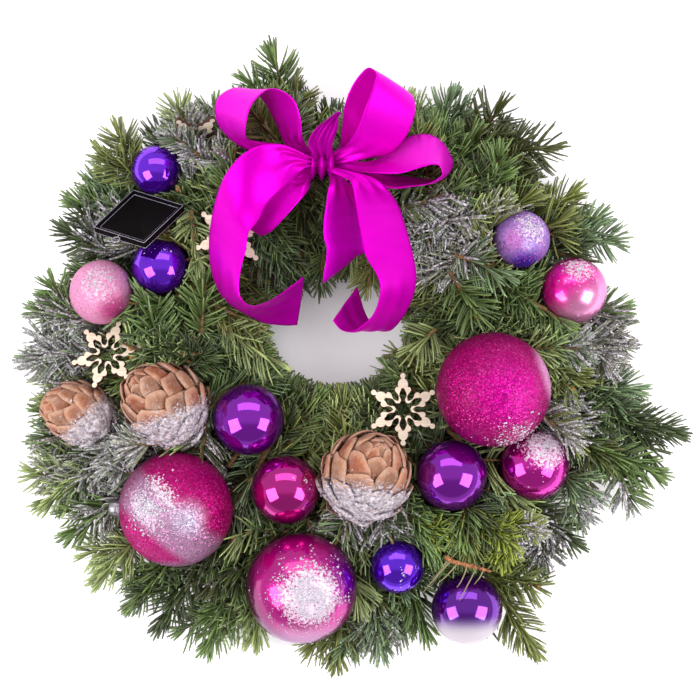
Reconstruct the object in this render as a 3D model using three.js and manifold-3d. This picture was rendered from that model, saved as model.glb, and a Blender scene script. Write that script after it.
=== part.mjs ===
// A fresh evergreen wreath lying on its back, face up, in millimetres with +Z up.
// +Y is the top of the wreath, where the bow is tied. The fir bunches are bound to a straw
// ring with wire, and the baubles, cones, snowflakes, tag and bow are set into the greenery.
import * as THREE from 'three';
import { mergeVertices } from 'three/addons/utils/BufferGeometryUtils.js';
import Module from 'manifold-3d';

const wasm = await Module();
wasm.setup();

// ---------------------------------------------------------------- driving dimensions

const SEAT_GAP = 0.35; // between a piece and the pocket that it sits in
const FACES_UP = new THREE.Vector3(0, 0, 1);

const RING_CENTRE = new THREE.Vector2(-5, 10);
const RING_RADIUS = 105; // of the straw ring's centre line
const STRAW_RADIUS = 15;
const STRAW_CENTRE_Z = 13; // less than its radius, so the underside is flat
const STRAW_SIDES = 10;
const RING_STEPS = 32;

const WIRE_TURNS = 10;
const WIRE_THICKNESS = 1.4;
const WIRE_PATH_RADIUS = 17.6; // round the straw ring's centre line
const WIRE_UNDER_Z = 1.1;
const WIRE_STEPS_PER_TURN = 10;
const NOTCH = { length: 32, width: 3.4, height: 6 }; // lets the wire into the flat underside

const BUNCH_EDGES = [-5, 28, 62, 88, 112, 147, 170, 196, 227, 257, 292, 325, 355]; // degrees
const BUNCH_GAP = 0.3; // half the gap between neighbouring bunches
const CHANNEL_RADIUS = 20; // the greenery's hollow round the straw ring and the wire
const BELOW_FLOOR = -20; // a cut that starts here passes through the underside
const BEYOND = { reach: 400, height: 200 }; // farther out and higher than the whole wreath
const HOLE = { x: -9, y: 18, halfWidth: 45, halfHeight: 37 }; // the open middle of the wreath

// the flattened brushes of each bunch: distances from the ring's centre, heights and sizes
const SPINE = { overlap: 8, radius: 104, startZ: 46, endZ: 50, width: 76, thickness: 42 };
const OUTER_SPRIG = { root: 96, rootZ: 30, tipZ: 22, width: 46, thickness: 42 };
const UPPER_SPRIG = {
  shares: [0.3, 0.72], slant: 3, root: 92, rootZ: 47, tip: 184, tipZ: 42, width: 46, thickness: 32,
};
const INNER_SPRIG = { root: 122, rootZ: 44, tipZ: 24, width: 50, thickness: 28 };

const CAP = { radius: 2, height: 3, loop: 1.4, taper: 0.86, skirt: 1.5, wire: 0.6, sides: 6 };
const CAP_GROWTH = { radius: 0.06, height: 0.06, loop: 0.02 }; // for each mm of the ball's diameter
const SMALL_BAUBLE = 42; // up to this diameter a coarser ball will do

const CONE_ROWS = 8;
const CONE_SIDES = 10;
const CONE_GROOVE = 0.95; // the radius in the groove under a row of scales, as a share

const SNOWFLAKE_RADIUS = 26;
const SNOWFLAKE_THICKNESS = 3;

const TAG = {
  at: [-147, 97, 62], side: 46, thickness: 5, rim: 2.2, recess: 1.2,
  level: [0.972, 0.236, 0], normal: [-0.187, 0.771, 0.609], // its long diagonal lies level
};
const EYELET = { radius: 2.8, wire: 0.6 };

const RIBBON_THICKNESS = 1;
const KNOT = { at: [-19, 136, 70], half: [8, 9, 19] };

// ---------------------------------------------------------------- materials

const makeMaterial = (colour, roughness, metalness = 0) =>
  new THREE.MeshStandardMaterial({ color: colour, roughness, metalness });

const STRAW = makeMaterial(0xb8924e, 0.9);
const WIRE = makeMaterial(0x4d5a44, 0.5, 0.8);
const FIR = makeMaterial(0x46603a, 0.75);
const SILVER = makeMaterial(0xc8c8cc, 0.3, 1);
const CONE_SCALES = makeMaterial(0xb4773f, 0.8);
const BIRCH = makeMaterial(0xe8cfa8, 0.7);
const BLACK = makeMaterial(0x15101a, 0.3);
const SATIN = makeMaterial(0xd400b4, 0.45);
const BAUBLE_FINISH = {
  violet: makeMaterial(0x4b00c0, 0.12, 0.7),
  purple: makeMaterial(0x5c0096, 0.12, 0.7),
  magenta: makeMaterial(0xc00082, 0.12, 0.7),
  satin: makeMaterial(0xc8108c, 0.35, 0.5),
  glitter: makeMaterial(0xc4107c, 0.6, 0.3),
  pinkFrost: makeMaterial(0xe096b8, 0.7),
  lilacFrost: makeMaterial(0x8c6ac8, 0.6),
};

// ---------------------------------------------------------------- solids

/** A copy of a geometry with only positions, merged, and with its faces pointing out. */
function closed(geometry) {
  let bare = geometry.clone();
  bare.deleteAttribute('normal');
  bare.deleteAttribute('uv');
  bare = mergeVertices(bare, 1e-4);
  const index = Array.from(bare.index.array);
  const point = (i) => new THREE.Vector3().fromBufferAttribute(bare.attributes.position, i);
  const kept = [];
  let volume = 0;
  for (let i = 0; i < index.length; i += 3) {
    const [a, b, c] = index.slice(i, i + 3);
    if (a === b || b === c || a === c) continue;
    kept.push(a, b, c);
    volume += point(a).dot(point(b).cross(point(c)));
  }
  if (volume < 0) kept.reverse();
  bare.setIndex(kept);
  return bare;
}

/** A manifold-3d solid of a geometry, placed by a matrix. */
function solid(geometry, matrix = new THREE.Matrix4()) {
  const placed = closed(geometry.clone().applyMatrix4(matrix));
  const mesh = new wasm.Mesh({
    numProp: 3,
    vertProperties: new Float32Array(placed.attributes.position.array),
    triVerts: new Uint32Array(placed.index.array),
  });
  return new wasm.Manifold(mesh);
}

/** The largest connected piece of a solid, as a geometry. */
function largestPiece(body) {
  const { numProp, vertProperties, triVerts } = body.getMesh();
  const positions = new Float32Array((vertProperties.length / numProp) * 3);
  for (let i = 0; i < positions.length / 3; i++) {
    for (let k = 0; k < 3; k++) positions[3 * i + k] = vertProperties[numProp * i + k];
  }
  let geometry = new THREE.BufferGeometry();
  geometry.setAttribute('position', new THREE.BufferAttribute(positions, 3));
  geometry.setIndex(Array.from(triVerts));
  geometry = mergeVertices(geometry, 1e-5);
  const index = geometry.index.array;
  const parent = Array.from({ length: geometry.attributes.position.count }, (_, i) => i);
  const root = (i) => {
    while (parent[i] !== i) i = parent[i] = parent[parent[i]];
    return i;
  };
  for (let i = 0; i < index.length; i += 3) {
    parent[root(index[i])] = root(index[i + 1]);
    parent[root(index[i + 1])] = root(index[i + 2]);
  }
  const groups = new Map();
  for (let i = 0; i < index.length; i += 3) {
    const key = root(index[i]);
    if (!groups.has(key)) groups.set(key, []);
    groups.get(key).push(index[i], index[i + 1], index[i + 2]);
  }
  const largest = [...groups.values()].sort((a, b) => b.length - a.length)[0];
  geometry.setIndex(largest);
  return geometry;
}

const wreath = new THREE.Group();

function addMesh(name, geometry, material) {
  const mesh = new THREE.Mesh(closed(geometry), material);
  mesh.geometry.computeVertexNormals();
  mesh.name = name;
  wreath.add(mesh);
  return mesh;
}

/** A matrix that puts a shape's own Y axis along a direction, its Z axis as near up as it can. */
function along(origin, direction) {
  const y = new THREE.Vector3(...direction).normalize();
  const x = new THREE.Vector3().crossVectors(y, FACES_UP).normalize();
  const z = new THREE.Vector3().crossVectors(x, y);
  return new THREE.Matrix4().makeBasis(x, y, z).setPosition(...origin);
}

/** A matrix that puts a shape's own Z axis along a normal, turned about it by an angle. */
function facing(origin, normal, turn = 0) {
  const z = new THREE.Vector3(...normal).normalize();
  const quaternion = new THREE.Quaternion().setFromUnitVectors(FACES_UP, z);
  const spin = new THREE.Quaternion().setFromAxisAngle(FACES_UP, turn);
  const matrix = new THREE.Matrix4().makeRotationFromQuaternion(quaternion.multiply(spin));
  return matrix.setPosition(...origin);
}

const radians = THREE.MathUtils.degToRad;

/** A point given by its angle and distance round the ring's centre. */
function polar(degrees, radius, z) {
  return [
    RING_CENTRE.x + radius * Math.cos(radians(degrees)),
    RING_CENTRE.y + radius * Math.sin(radians(degrees)),
    z,
  ];
}

// ---------------------------------------------------------------- straw ring and binding wire

/** A ring about Z whose section is a circle, cut flat where it would pass below a level. */
function ringGeometry(sectionRadius, lowest, sides) {
  const profile = [];
  for (let i = 0; i <= sides; i++) {
    const angle = (2 * Math.PI * (i % sides)) / sides;
    const height = STRAW_CENTRE_Z + sectionRadius * Math.sin(angle);
    const across = RING_RADIUS + sectionRadius * Math.cos(angle);
    profile.push(new THREE.Vector2(across, Math.max(height, lowest)));
  }
  const ring = new THREE.LatheGeometry(profile, RING_STEPS);
  ring.rotateX(Math.PI / 2);
  ring.translate(RING_CENTRE.x, RING_CENTRE.y, 0);
  return ring;
}

class WireWinding extends THREE.Curve {
  getPoint(t, target = new THREE.Vector3()) {
    const turns = t * (WIRE_TURNS - 0.2) + 0.1;
    const part = turns % 1;
    const forward = THREE.MathUtils.smoothstep(part, 0.14, 0.86); // straight across the underside
    const azimuth = (360 * (Math.floor(turns) + forward)) / WIRE_TURNS;
    const around = 2 * Math.PI * part - Math.PI / 2;
    const height = STRAW_CENTRE_Z + WIRE_PATH_RADIUS * Math.sin(around);
    const across = RING_RADIUS + WIRE_PATH_RADIUS * Math.cos(around);
    return target.set(...polar(azimuth, across, Math.max(height, WIRE_UNDER_Z)));
  }
}

function addStrawRing() {
  let straw = solid(ringGeometry(STRAW_RADIUS, 0, STRAW_SIDES));
  for (let i = 0; i < WIRE_TURNS; i++) {
    const azimuth = (360 * i) / WIRE_TURNS;
    const notch = new THREE.BoxGeometry(NOTCH.length, NOTCH.width, 2 * NOTCH.height);
    notch.rotateZ(radians(azimuth));
    notch.translate(...polar(azimuth, RING_RADIUS, 0));
    straw = straw.subtract(solid(notch));
  }
  addMesh('straw_ring', largestPiece(straw), STRAW);
}

function addBindingWire() {
  const half = WIRE_THICKNESS / 2;
  const section = new THREE.Shape([
    new THREE.Vector2(-half, -half),
    new THREE.Vector2(half, -half),
    new THREE.Vector2(half, half),
    new THREE.Vector2(-half, half),
  ]);
  const steps = WIRE_TURNS * WIRE_STEPS_PER_TURN;
  const wire = new THREE.ExtrudeGeometry(section, { steps, extrudePath: new WireWinding() });
  addMesh('binding_wire', wire, WIRE);
}

// ---------------------------------------------------------------- pieces set into the greenery

const pockets = []; // solids that the greenery is cut back from

// name, centre, diameter, finish, and the way its cap points where that isn't down and outward
const BAUBLES = [
  ['violet_bauble_top', [-136, 132, 40], 35, 'violet'],
  ['violet_bauble_left', [-133, 64, 52], 40, 'violet'],
  ['pink_frosted_bauble_left', [-174, 46, 48], 45, 'pinkFrost'],
  ['purple_bauble_left', [-71, -43, 56], 50, 'purple', [0.5, 0.4, -0.77]],
  ['magenta_bauble_small', [-45, -92, 58], 48, 'magenta', [-0.3, -0.7, -0.65]],
  ['glitter_bauble_banded', [-122, -106, 52], 80, 'glitter', [-0.97, 0.02, -0.25]],
  ['magenta_bauble_snowy', [-34, -161, 54], 78, 'satin'],
  ['glitter_bauble_large', [100, -22, 73], 80, 'glitter', [0.8, 0.1, -0.6]],
  ['purple_bauble_right', [71, -82, 58], 50, 'purple', [0.5, -0.6, -0.62]],
  ['magenta_bauble_right', [129, -75, 43], 50, 'magenta'],
  ['violet_bauble_bottom', [33, -146, 50], 38, 'violet'],
  ['purple_white_bauble', [82, -176, 42], 50, 'purple'],
  ['lilac_frosted_bauble', [120, 83, 52], 40, 'lilacFrost'],
  ['pink_frosted_bauble_right', [157, 47, 50], 46, 'pinkFrost'],
];

function capSize(part, diameter) {
  return CAP[part] + CAP_GROWTH[part] * diameter;
}

function addBauble([name, centre, diameter, finish, capWay]) {
  const radius = diameter / 2;
  const outward = new THREE.Vector2(centre[0], centre[1]).sub(RING_CENTRE).normalize();
  const way = new THREE.Vector3(...(capWay ?? [0.6 * outward.x, 0.6 * outward.y, -0.8]));
  way.normalize();

  const detail = diameter > SMALL_BAUBLE ? 2 : 1;
  const ball = addMesh(name, new THREE.IcosahedronGeometry(radius, detail),
    BAUBLE_FINISH[finish]);
  ball.position.set(...centre);

  const place = along(centre, way.toArray());
  const capRadius = capSize('radius', diameter);
  const loop = capSize('loop', diameter);
  const rim = Math.sqrt(radius * radius - capRadius * capRadius); // where the cap meets the ball
  const bottom = rim - CAP.skirt;
  const top = radius + capSize('height', diameter);
  const cup = new THREE.CylinderGeometry(
    capRadius * CAP.taper, capRadius, top - bottom, CAP.sides);
  cup.translate(0, (top + bottom) / 2, 0);
  const eye = new THREE.TorusGeometry(loop, CAP.wire, 3, CAP.sides);
  eye.translate(0, top + loop - CAP.wire / 2, 0);
  const clearBall = new THREE.IcosahedronGeometry(radius + SEAT_GAP, detail);
  const clearPlace = new THREE.Matrix4().makeTranslation(...centre);
  const cap = solid(cup, place).add(solid(eye, place)).subtract(solid(clearBall, clearPlace));
  addMesh(`${name}_cap`, largestPiece(cap), SILVER);

  pockets.push(solid(clearBall, clearPlace));
  const reach = top + 2 * (loop + CAP.wire);
  const room = new THREE.CylinderGeometry(
    capRadius + SEAT_GAP, capRadius + SEAT_GAP, reach, CAP.sides);
  room.translate(0, reach / 2, 0);
  pockets.push(solid(room, place));
}

/** The stepped outline of a closed pine cone: one narrow groove under each row of scales. */
function coneGeometry(length, diameter, grow) {
  const profile = [new THREE.Vector2(0, -length / 2 - grow)];
  for (let i = 1; i < 2 * CONE_ROWS; i++) {
    const t = i / (2 * CONE_ROWS);
    const fullness = Math.pow(Math.sin(Math.PI * Math.pow(t, 0.8)), 0.62);
    const groove = i % 2 === 0 ? CONE_GROOVE : 1;
    profile.push(new THREE.Vector2(
      (diameter / 2) * fullness * groove + grow, (t - 0.5) * (length + 2 * grow)));
  }
  profile.push(new THREE.Vector2(0, length / 2 + grow));
  return new THREE.LatheGeometry(profile, CONE_SIDES);
}

// name, centre, the way the tip points, length, diameter
const CONES = [
  ['pine_cone_left', [-192, -38, 44], [-0.75, 0.2, 0.62], 56, 43],
  ['pine_cone_middle', [-131, -31, 56], [-0.55, 0.42, 0.72], 70, 56],
  ['pine_cone_centre', [12, -81, 72], [0.25, 0.55, 0.8], 70, 60],
];

function addCone([name, centre, way, length, diameter]) {
  const place = along(centre, way);
  const cone = addMesh(name, coneGeometry(length, diameter, 0), CONE_SCALES);
  cone.applyMatrix4(place);
  pockets.push(solid(coneGeometry(length, diameter, SEAT_GAP), place));
}

/** One sixth of a snowflake's outline: a valley, two shoulders and the arm with its ball tip. */
const ARM_OUTLINE = [
  [0.30, -30], [0.42, -21], [0.56, -17], [0.66, -7.5], [0.88, -8], [1, 0],
  [0.88, 8], [0.66, 7.5], [0.56, 17], [0.42, 21],
]; // radius as a share of the snowflake's, angle in degrees from the arm
const ARM_SLOT = [[0.15, -30], [0.40, -7], [0.62, 0], [0.40, 7]];

function starPoints(sixth) {
  const points = [];
  for (let arm = 0; arm < 6; arm++) {
    for (const [share, degrees] of sixth) {
      const angle = radians(60 * arm + degrees);
      const radius = share * SNOWFLAKE_RADIUS;
      points.push(new THREE.Vector2(radius * Math.cos(angle), radius * Math.sin(angle)));
    }
  }
  return points;
}

// name, centre, the way the face looks, turn of its arms in degrees
const SNOWFLAKES = [
  ['snowflake_centre', [37, -36, 56], [0.05, 0.1, 1], 30],
  ['snowflake_left', [-170, 2, 53], [-0.25, 0.35, 0.9], 12],
  ['snowflake_top', [-109, 153, 38], [0.1, -0.75, 0.66], 0],
  ['snowflake_under_bow', [-84, 85, 60], [0.05, 0.05, 1], 20],
];

function addSnowflake([name, centre, normal, turn]) {
  const place = facing(centre, normal, radians(turn));
  const shape = new THREE.Shape(starPoints(ARM_OUTLINE));
  shape.holes.push(new THREE.Path(starPoints(ARM_SLOT)));
  const plate = new THREE.ExtrudeGeometry(shape, {
    depth: SNOWFLAKE_THICKNESS, bevelEnabled: false });
  plate.translate(0, 0, -SNOWFLAKE_THICKNESS / 2);
  addMesh(name, plate, BIRCH).applyMatrix4(place);
  const room = new THREE.CylinderGeometry(
    SNOWFLAKE_RADIUS + SEAT_GAP, SNOWFLAKE_RADIUS + SEAT_GAP,
    SNOWFLAKE_THICKNESS + 2 * SEAT_GAP, 12);
  room.rotateX(Math.PI / 2);
  pockets.push(solid(room, place));
}

function addTag() {
  const level = new THREE.Vector3(...TAG.level).normalize();
  const normal = new THREE.Vector3(...TAG.normal).normalize();
  const rising = new THREE.Vector3().crossVectors(normal, level);
  const x = level.clone().sub(rising).normalize();
  const y = level.clone().add(rising).normalize();
  const place = new THREE.Matrix4().makeBasis(x, y, normal).setPosition(...TAG.at);

  const { side, thickness, rim, recess } = TAG;
  const plate = new THREE.BoxGeometry(side, side, thickness);
  const dish = new THREE.BoxGeometry(side - 2 * rim, side - 2 * rim, 2 * recess);
  dish.translate(0, 0, thickness / 2);
  addMesh('black_tag', largestPiece(solid(plate).subtract(solid(dish))), BLACK)
    .applyMatrix4(place);
  const room = new THREE.BoxGeometry(
    side + 2 * SEAT_GAP, side + 2 * SEAT_GAP, thickness + 2 * SEAT_GAP);
  pockets.push(solid(room, place));

  const eyelet = new THREE.TorusGeometry(EYELET.radius, EYELET.wire, 5, 10);
  eyelet.translate(0, -side / 2 - EYELET.radius - EYELET.wire - SEAT_GAP, thickness / 4);
  addMesh('tag_eyelet', eyelet, SILVER).applyMatrix4(place);
}

// ---------------------------------------------------------------- ribbon bow

/** A strip through stations of six numbers: a point on one edge, then one on the other edge. */
function ribbonGeometry(stations, grow) {
  const left = stations.map((s) => new THREE.Vector3(...s.slice(0, 3)));
  const right = stations.map((s) => new THREE.Vector3(...s.slice(3)));
  const corners = [];
  stations.forEach((_, i) => {
    const before = Math.max(i - 1, 0);
    const after = Math.min(i + 1, stations.length - 1);
    const travel = left[after].clone().add(right[after]).sub(left[before]).sub(right[before]);
    const across = right[i].clone().sub(left[i]).normalize();
    const normal = travel.cross(across).normalize().multiplyScalar(RIBBON_THICKNESS / 2 + grow);
    const leftEdge = left[i].clone().addScaledVector(across, -grow);
    const rightEdge = right[i].clone().addScaledVector(across, grow);
    corners.push(leftEdge.clone().add(normal), rightEdge.clone().add(normal),
      rightEdge.clone().sub(normal), leftEdge.clone().sub(normal));
  });
  const index = [0, 1, 2, 0, 2, 3];
  for (let i = 0; i + 1 < stations.length; i++) {
    for (let k = 0; k < 4; k++) {
      const a = 4 * i + k;
      const b = 4 * i + ((k + 1) % 4);
      index.push(a, a + 4, b + 4, a, b + 4, b);
    }
  }
  const last = 4 * (stations.length - 1);
  index.push(last, last + 2, last + 1, last, last + 3, last + 2);
  const strip = new THREE.BufferGeometry();
  strip.setAttribute('position', new THREE.Float32BufferAttribute(
    corners.flatMap((corner) => corner.toArray()), 3));
  strip.setIndex(index);
  return strip;
}

// each strip starts inside the knot, and a loop ends there again
const RIBBONS = {
  bow_left_loop: [
    [-22, 143, 82, -24, 139, 76], [-29, 146, 86, -33, 143, 74], [-33, 153, 96, -45, 150, 71],
    [-34, 164, 106, -51, 162, 71], [-38, 177, 110, -57, 174, 73], [-46, 184, 111, -64, 183, 74],
    [-55, 186, 110, -75, 188, 73], [-63, 181, 109, -84, 187, 74], [-69, 173, 107, -92, 181, 72],
    [-72, 162, 104, -94, 172, 70], [-72, 153, 97, -90, 160, 67], [-66, 149, 90, -77, 148, 64],
    [-52, 147, 84, -58, 141, 64], [-37, 141, 76, -39, 138, 66], [-24, 139, 72, -24, 137, 66],
  ],
  bow_left_tail: [
    [-24, 138, 87, -24, 133, 85], [-31, 141, 93, -30, 132, 90], [-47, 148, 102, -35, 127, 92],
    [-61, 147, 110, -47, 117, 90], [-74, 141, 108, -57, 107, 94], [-85, 129, 100, -63, 96, 100],
    [-92, 114, 88, -70, 87, 106], [-96, 98, 81, -72, 75, 105], [-98, 82, 76, -75, 64, 103],
    [-97, 64, 71, -77, 52, 101], [-92, 48, 66, -76, 42, 99], [-84, 38, 62, -69, 36, 96],
    [-73, 31, 58, -59, 38, 92], [-61, 25, 55, -50, 43, 86], [-47, 23, 53, -41, 50, 80],
    [-37, 23, 53, -32, 57, 74],
  ],
  bow_left_under_loop: [
    [-22, 131, 76, -24, 136, 75], [-27, 125, 77, -34, 133, 75], [-28, 119, 79, -41, 131, 76],
    [-32, 113, 81, -55, 134, 76], [-38, 106, 82, -65, 129, 77], [-46, 97, 81, -73, 120, 76],
    [-55, 88, 77, -80, 111, 73], [-62, 85, 71, -87, 107, 69], [-65, 87, 66, -90, 109, 65],
    [-62, 94, 63, -85, 118, 63], [-52, 105, 63, -74, 127, 62], [-42, 115, 64, -60, 132, 62],
    [-32, 124, 65, -37, 130, 64], [-24, 130, 66, -25, 134, 65],
  ],
  bow_right_loop: [
    [-15, 140, 70, -13, 136, 66], [-8, 145, 74, -2, 140, 67], [-6, 152, 84, 11, 140, 66],
    [-5, 164, 93, 18, 150, 70], [-3, 177, 98, 22, 162, 73], [2, 189, 104, 27, 174, 79],
    [9, 198, 112, 34, 181, 87], [14, 200, 120, 40, 184, 94], [18, 195, 125, 44, 180, 99],
    [16, 186, 127, 45, 171, 101], [11, 173, 124, 42, 160, 98], [7, 162, 117, 36, 150, 92],
    [1, 152, 106, 25, 141, 84], [-8, 144, 91, 0, 136, 79], [-15, 140, 82, -14, 136, 77],
  ],
  bow_right_small_loop: [
    [-14, 135, 78, -13, 138, 72], [-5, 133, 83, -1, 137, 71], [6, 130, 90, 15, 136, 66],
    [21, 128, 98, 31, 148, 65], [35, 128, 101, 43, 155, 66], [49, 132, 102, 55, 156, 67],
    [57, 134, 101, 64, 151, 64], [62, 133, 100, 69, 144, 63], [64, 128, 98, 72, 136, 60],
    [62, 125, 95, 69, 129, 58], [55, 121, 91, 61, 125, 57], [42, 119, 85, 44, 126, 56],
    [28, 118, 79, 29, 127, 57], [8, 124, 70, 10, 130, 58], [-5, 131, 67, -3, 134, 60],
    [-14, 134, 67, -14, 136, 62],
  ],
  bow_short_end: [
    [-22, 138, 86, -15, 137, 86], [-26, 142, 93, -13, 141, 92], [-29, 149, 98, -12, 148, 97],
    [-27, 155, 102, -10, 154, 101], [-22, 161, 106, -8, 160, 104], [-15, 166, 109, -8, 165, 107],
    [-9, 170, 112, -6, 169, 111],
  ],
  bow_centre_tail: [
    [-18, 131, 76, -14, 131, 73], [-15, 125, 80, -8, 125, 74], [-15, 118, 88, 0, 118, 71],
    [-16, 108, 88, 6, 108, 65], [-18, 95, 87, 8, 95, 63], [-18, 84, 84, 10, 83, 60],
    [-15, 74, 80, 11, 74, 57], [-17, 52, 70, 8, 74, 54],
  ],
  bow_right_tail: [
    [-16, 131, 86, -13, 132, 82], [-5, 126, 94, 5, 127, 89], [1, 122, 101, 20, 122, 85],
    [4, 108, 106, 32, 109, 78], [7, 90, 107, 39, 90, 78], [11, 71, 106, 44, 71, 78],
    [18, 59, 105, 46, 58, 77], [21, 50, 103, 45, 47, 74], [20, 40, 98, 41, 36, 69],
    [16, 30, 91, 35, 26, 62], [8, 22, 82, 27, 19, 53], [0, 18, 75, 18, 22, 47],
    [-7, 20, 71, 11, 31, 45], [-12, 26, 70, 5, 50, 46],
  ],
};

function knotGeometry(grow) {
  const knot = new THREE.IcosahedronGeometry(1, 1);
  knot.scale(...KNOT.half.map((half) => half + grow));
  knot.translate(...KNOT.at);
  return knot;
}

function addBow() {
  addMesh('bow_knot', knotGeometry(0), SATIN);
  pockets.push(solid(knotGeometry(SEAT_GAP)));
  for (const [name, stations] of Object.entries(RIBBONS)) {
    const strip = solid(ribbonGeometry(stations, 0)).subtract(solid(knotGeometry(SEAT_GAP)));
    addMesh(name, largestPiece(strip), SATIN);
    pockets.push(solid(ribbonGeometry(stations, SEAT_GAP)));
  }
}

// ---------------------------------------------------------------- fir bunches

// the angle and distance of each sprig tip round the outside, one row for each bunch
const OUTER_TIPS = [
  [[1, 207], [11, 198], [22, 212]],
  [[33, 205], [43, 202], [54, 207]],
  [[66, 201], [76, 196], [84, 184]],
  [[93, 190], [103.5, 224]],
  [[118, 200], [128, 208], [140, 219]],
  [[152, 219], [158, 220], [165, 217]],
  [[175, 227], [184, 227], [192, 226]],
  [[201, 233], [208, 245], [215, 235], [222, 246]],
  [[231, 244], [239, 233], [246, 236], [253, 222]],
  [[261, 212], [269, 235], [277, 224], [286, 211]],
  [[297, 228], [302, 268], [310, 231], [319, 220]],
  [[329, 230], [335.5, 258], [345, 247], [351, 228]],
];

/** A flattened six-sided brush from a twig's cut end to its tip: one sprig with its needles. */
function brushGeometry(length, width, thickness) {
  const profile = [[0, 0], [0.9, 0.22], [0.86, 0.7], [0, 1]];
  const brush = new THREE.LatheGeometry(profile.map(([x, y]) => new THREE.Vector2(x, y)), 6);
  brush.scale(width / 2, length, thickness / 2);
  return brush;
}

function brush(from, to, { width, thickness }) {
  const way = to.map((value, i) => value - from[i]);
  const length = Math.hypot(...way);
  return solid(brushGeometry(length, width, thickness), along(from, way));
}

/** How far the wreath's middle is open in a direction from the ring's centre. */
function holeRadius(degrees) {
  const way = new THREE.Vector2(Math.cos(radians(degrees)), Math.sin(radians(degrees)));
  for (let radius = 0; ; radius += 1) {
    const x = RING_CENTRE.x + radius * way.x - HOLE.x;
    const y = RING_CENTRE.y + radius * way.y - HOLE.y;
    if (Math.hypot(x / HOLE.halfWidth, y / HOLE.halfHeight) >= 1) return radius;
  }
}

/** The room between two angles round the ring, from the surface it lies on upwards. */
function sectorSolid(start, end) {
  const middle = radians((start + end) / 2);
  const half = radians((end - start) / 2);
  const inset = BUNCH_GAP / Math.sin(half);
  const apex = new THREE.Vector2(
    RING_CENTRE.x + inset * Math.cos(middle), RING_CENTRE.y + inset * Math.sin(middle));
  const corner = (angle) => new THREE.Vector2(
    apex.x + BEYOND.reach * Math.cos(angle), apex.y + BEYOND.reach * Math.sin(angle));
  const shape = new THREE.Shape([apex, corner(middle - half), corner(middle + half)]);
  return solid(new THREE.ExtrudeGeometry(shape, { depth: BEYOND.height, bevelEnabled: false }));
}

function addBunches() {
  const channel = solid(ringGeometry(CHANNEL_RADIUS, BELOW_FLOOR, STRAW_SIDES));
  OUTER_TIPS.forEach((tips, i) => {
    const start = BUNCH_EDGES[i];
    const end = BUNCH_EDGES[i + 1];
    const middle = (start + end) / 2;
    let bunch = brush(
      polar(start - SPINE.overlap, SPINE.radius, SPINE.startZ),
      polar(end + SPINE.overlap, SPINE.radius, SPINE.endZ), SPINE);
    for (const [degrees, radius] of tips) {
      bunch = bunch.add(brush(
        polar(degrees, OUTER_SPRIG.root, OUTER_SPRIG.rootZ),
        polar(degrees, radius, OUTER_SPRIG.tipZ), OUTER_SPRIG));
    }
    for (const share of UPPER_SPRIG.shares) {
      const degrees = start + share * (end - start);
      bunch = bunch.add(brush(
        polar(degrees, UPPER_SPRIG.root, UPPER_SPRIG.rootZ),
        polar(degrees + UPPER_SPRIG.slant, UPPER_SPRIG.tip, UPPER_SPRIG.tipZ), UPPER_SPRIG));
    }
    bunch = bunch.add(brush(
      polar(middle, INNER_SPRIG.root, INNER_SPRIG.rootZ),
      polar(middle, holeRadius(middle), INNER_SPRIG.tipZ), INNER_SPRIG));
    bunch = bunch.subtract(channel).intersect(sectorSolid(start, end));
    for (const pocket of pockets) bunch = bunch.subtract(pocket);
    addMesh(`fir_bunch_${i + 1}`, largestPiece(bunch), FIR);
  });
}

// ---------------------------------------------------------------- the whole wreath

addStrawRing();
addBindingWire();
BAUBLES.forEach(addBauble);
CONES.forEach(addCone);
SNOWFLAKES.forEach(addSnowflake);
addTag();
addBow();
addBunches();

// the origin is the middle of the wreath's outline, on the surface that it lies on
wreath.updateMatrixWorld(true);
const middle = new THREE.Box3().setFromObject(wreath, true).getCenter(new THREE.Vector3());
wreath.position.set(-middle.x, -middle.y, 0);

const standingFrame = new THREE.Group();
standingFrame.add(wreath);
export default standingFrame;
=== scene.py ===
"""A fresh evergreen wreath on its back on a pale floor, seen straight from above.

Metres, +Z up, +Y the top of the wreath. Places are written in the wreath's own millimetres,
and place() puts them in the model's frame.
"""

import math

import bpy
import numpy as np
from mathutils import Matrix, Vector
from mathutils.bvhtree import BVHTree


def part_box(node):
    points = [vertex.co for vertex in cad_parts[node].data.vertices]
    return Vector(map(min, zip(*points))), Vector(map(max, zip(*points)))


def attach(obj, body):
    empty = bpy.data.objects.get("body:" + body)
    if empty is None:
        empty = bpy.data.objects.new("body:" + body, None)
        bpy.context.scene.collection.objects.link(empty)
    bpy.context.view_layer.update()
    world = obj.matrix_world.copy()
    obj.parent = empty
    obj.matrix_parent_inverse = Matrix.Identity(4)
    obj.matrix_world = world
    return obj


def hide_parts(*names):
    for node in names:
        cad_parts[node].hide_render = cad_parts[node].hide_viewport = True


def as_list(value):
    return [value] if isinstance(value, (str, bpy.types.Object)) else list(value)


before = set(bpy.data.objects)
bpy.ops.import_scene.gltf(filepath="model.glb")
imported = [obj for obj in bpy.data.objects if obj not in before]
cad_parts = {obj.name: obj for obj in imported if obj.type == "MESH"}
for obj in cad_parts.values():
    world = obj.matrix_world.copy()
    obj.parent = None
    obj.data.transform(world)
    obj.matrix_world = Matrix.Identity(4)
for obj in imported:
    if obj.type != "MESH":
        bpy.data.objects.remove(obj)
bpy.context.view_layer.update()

rng = np.random.default_rng(2611)

# ---------------------------------------------------------------- driving dimensions (mm)

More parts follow.
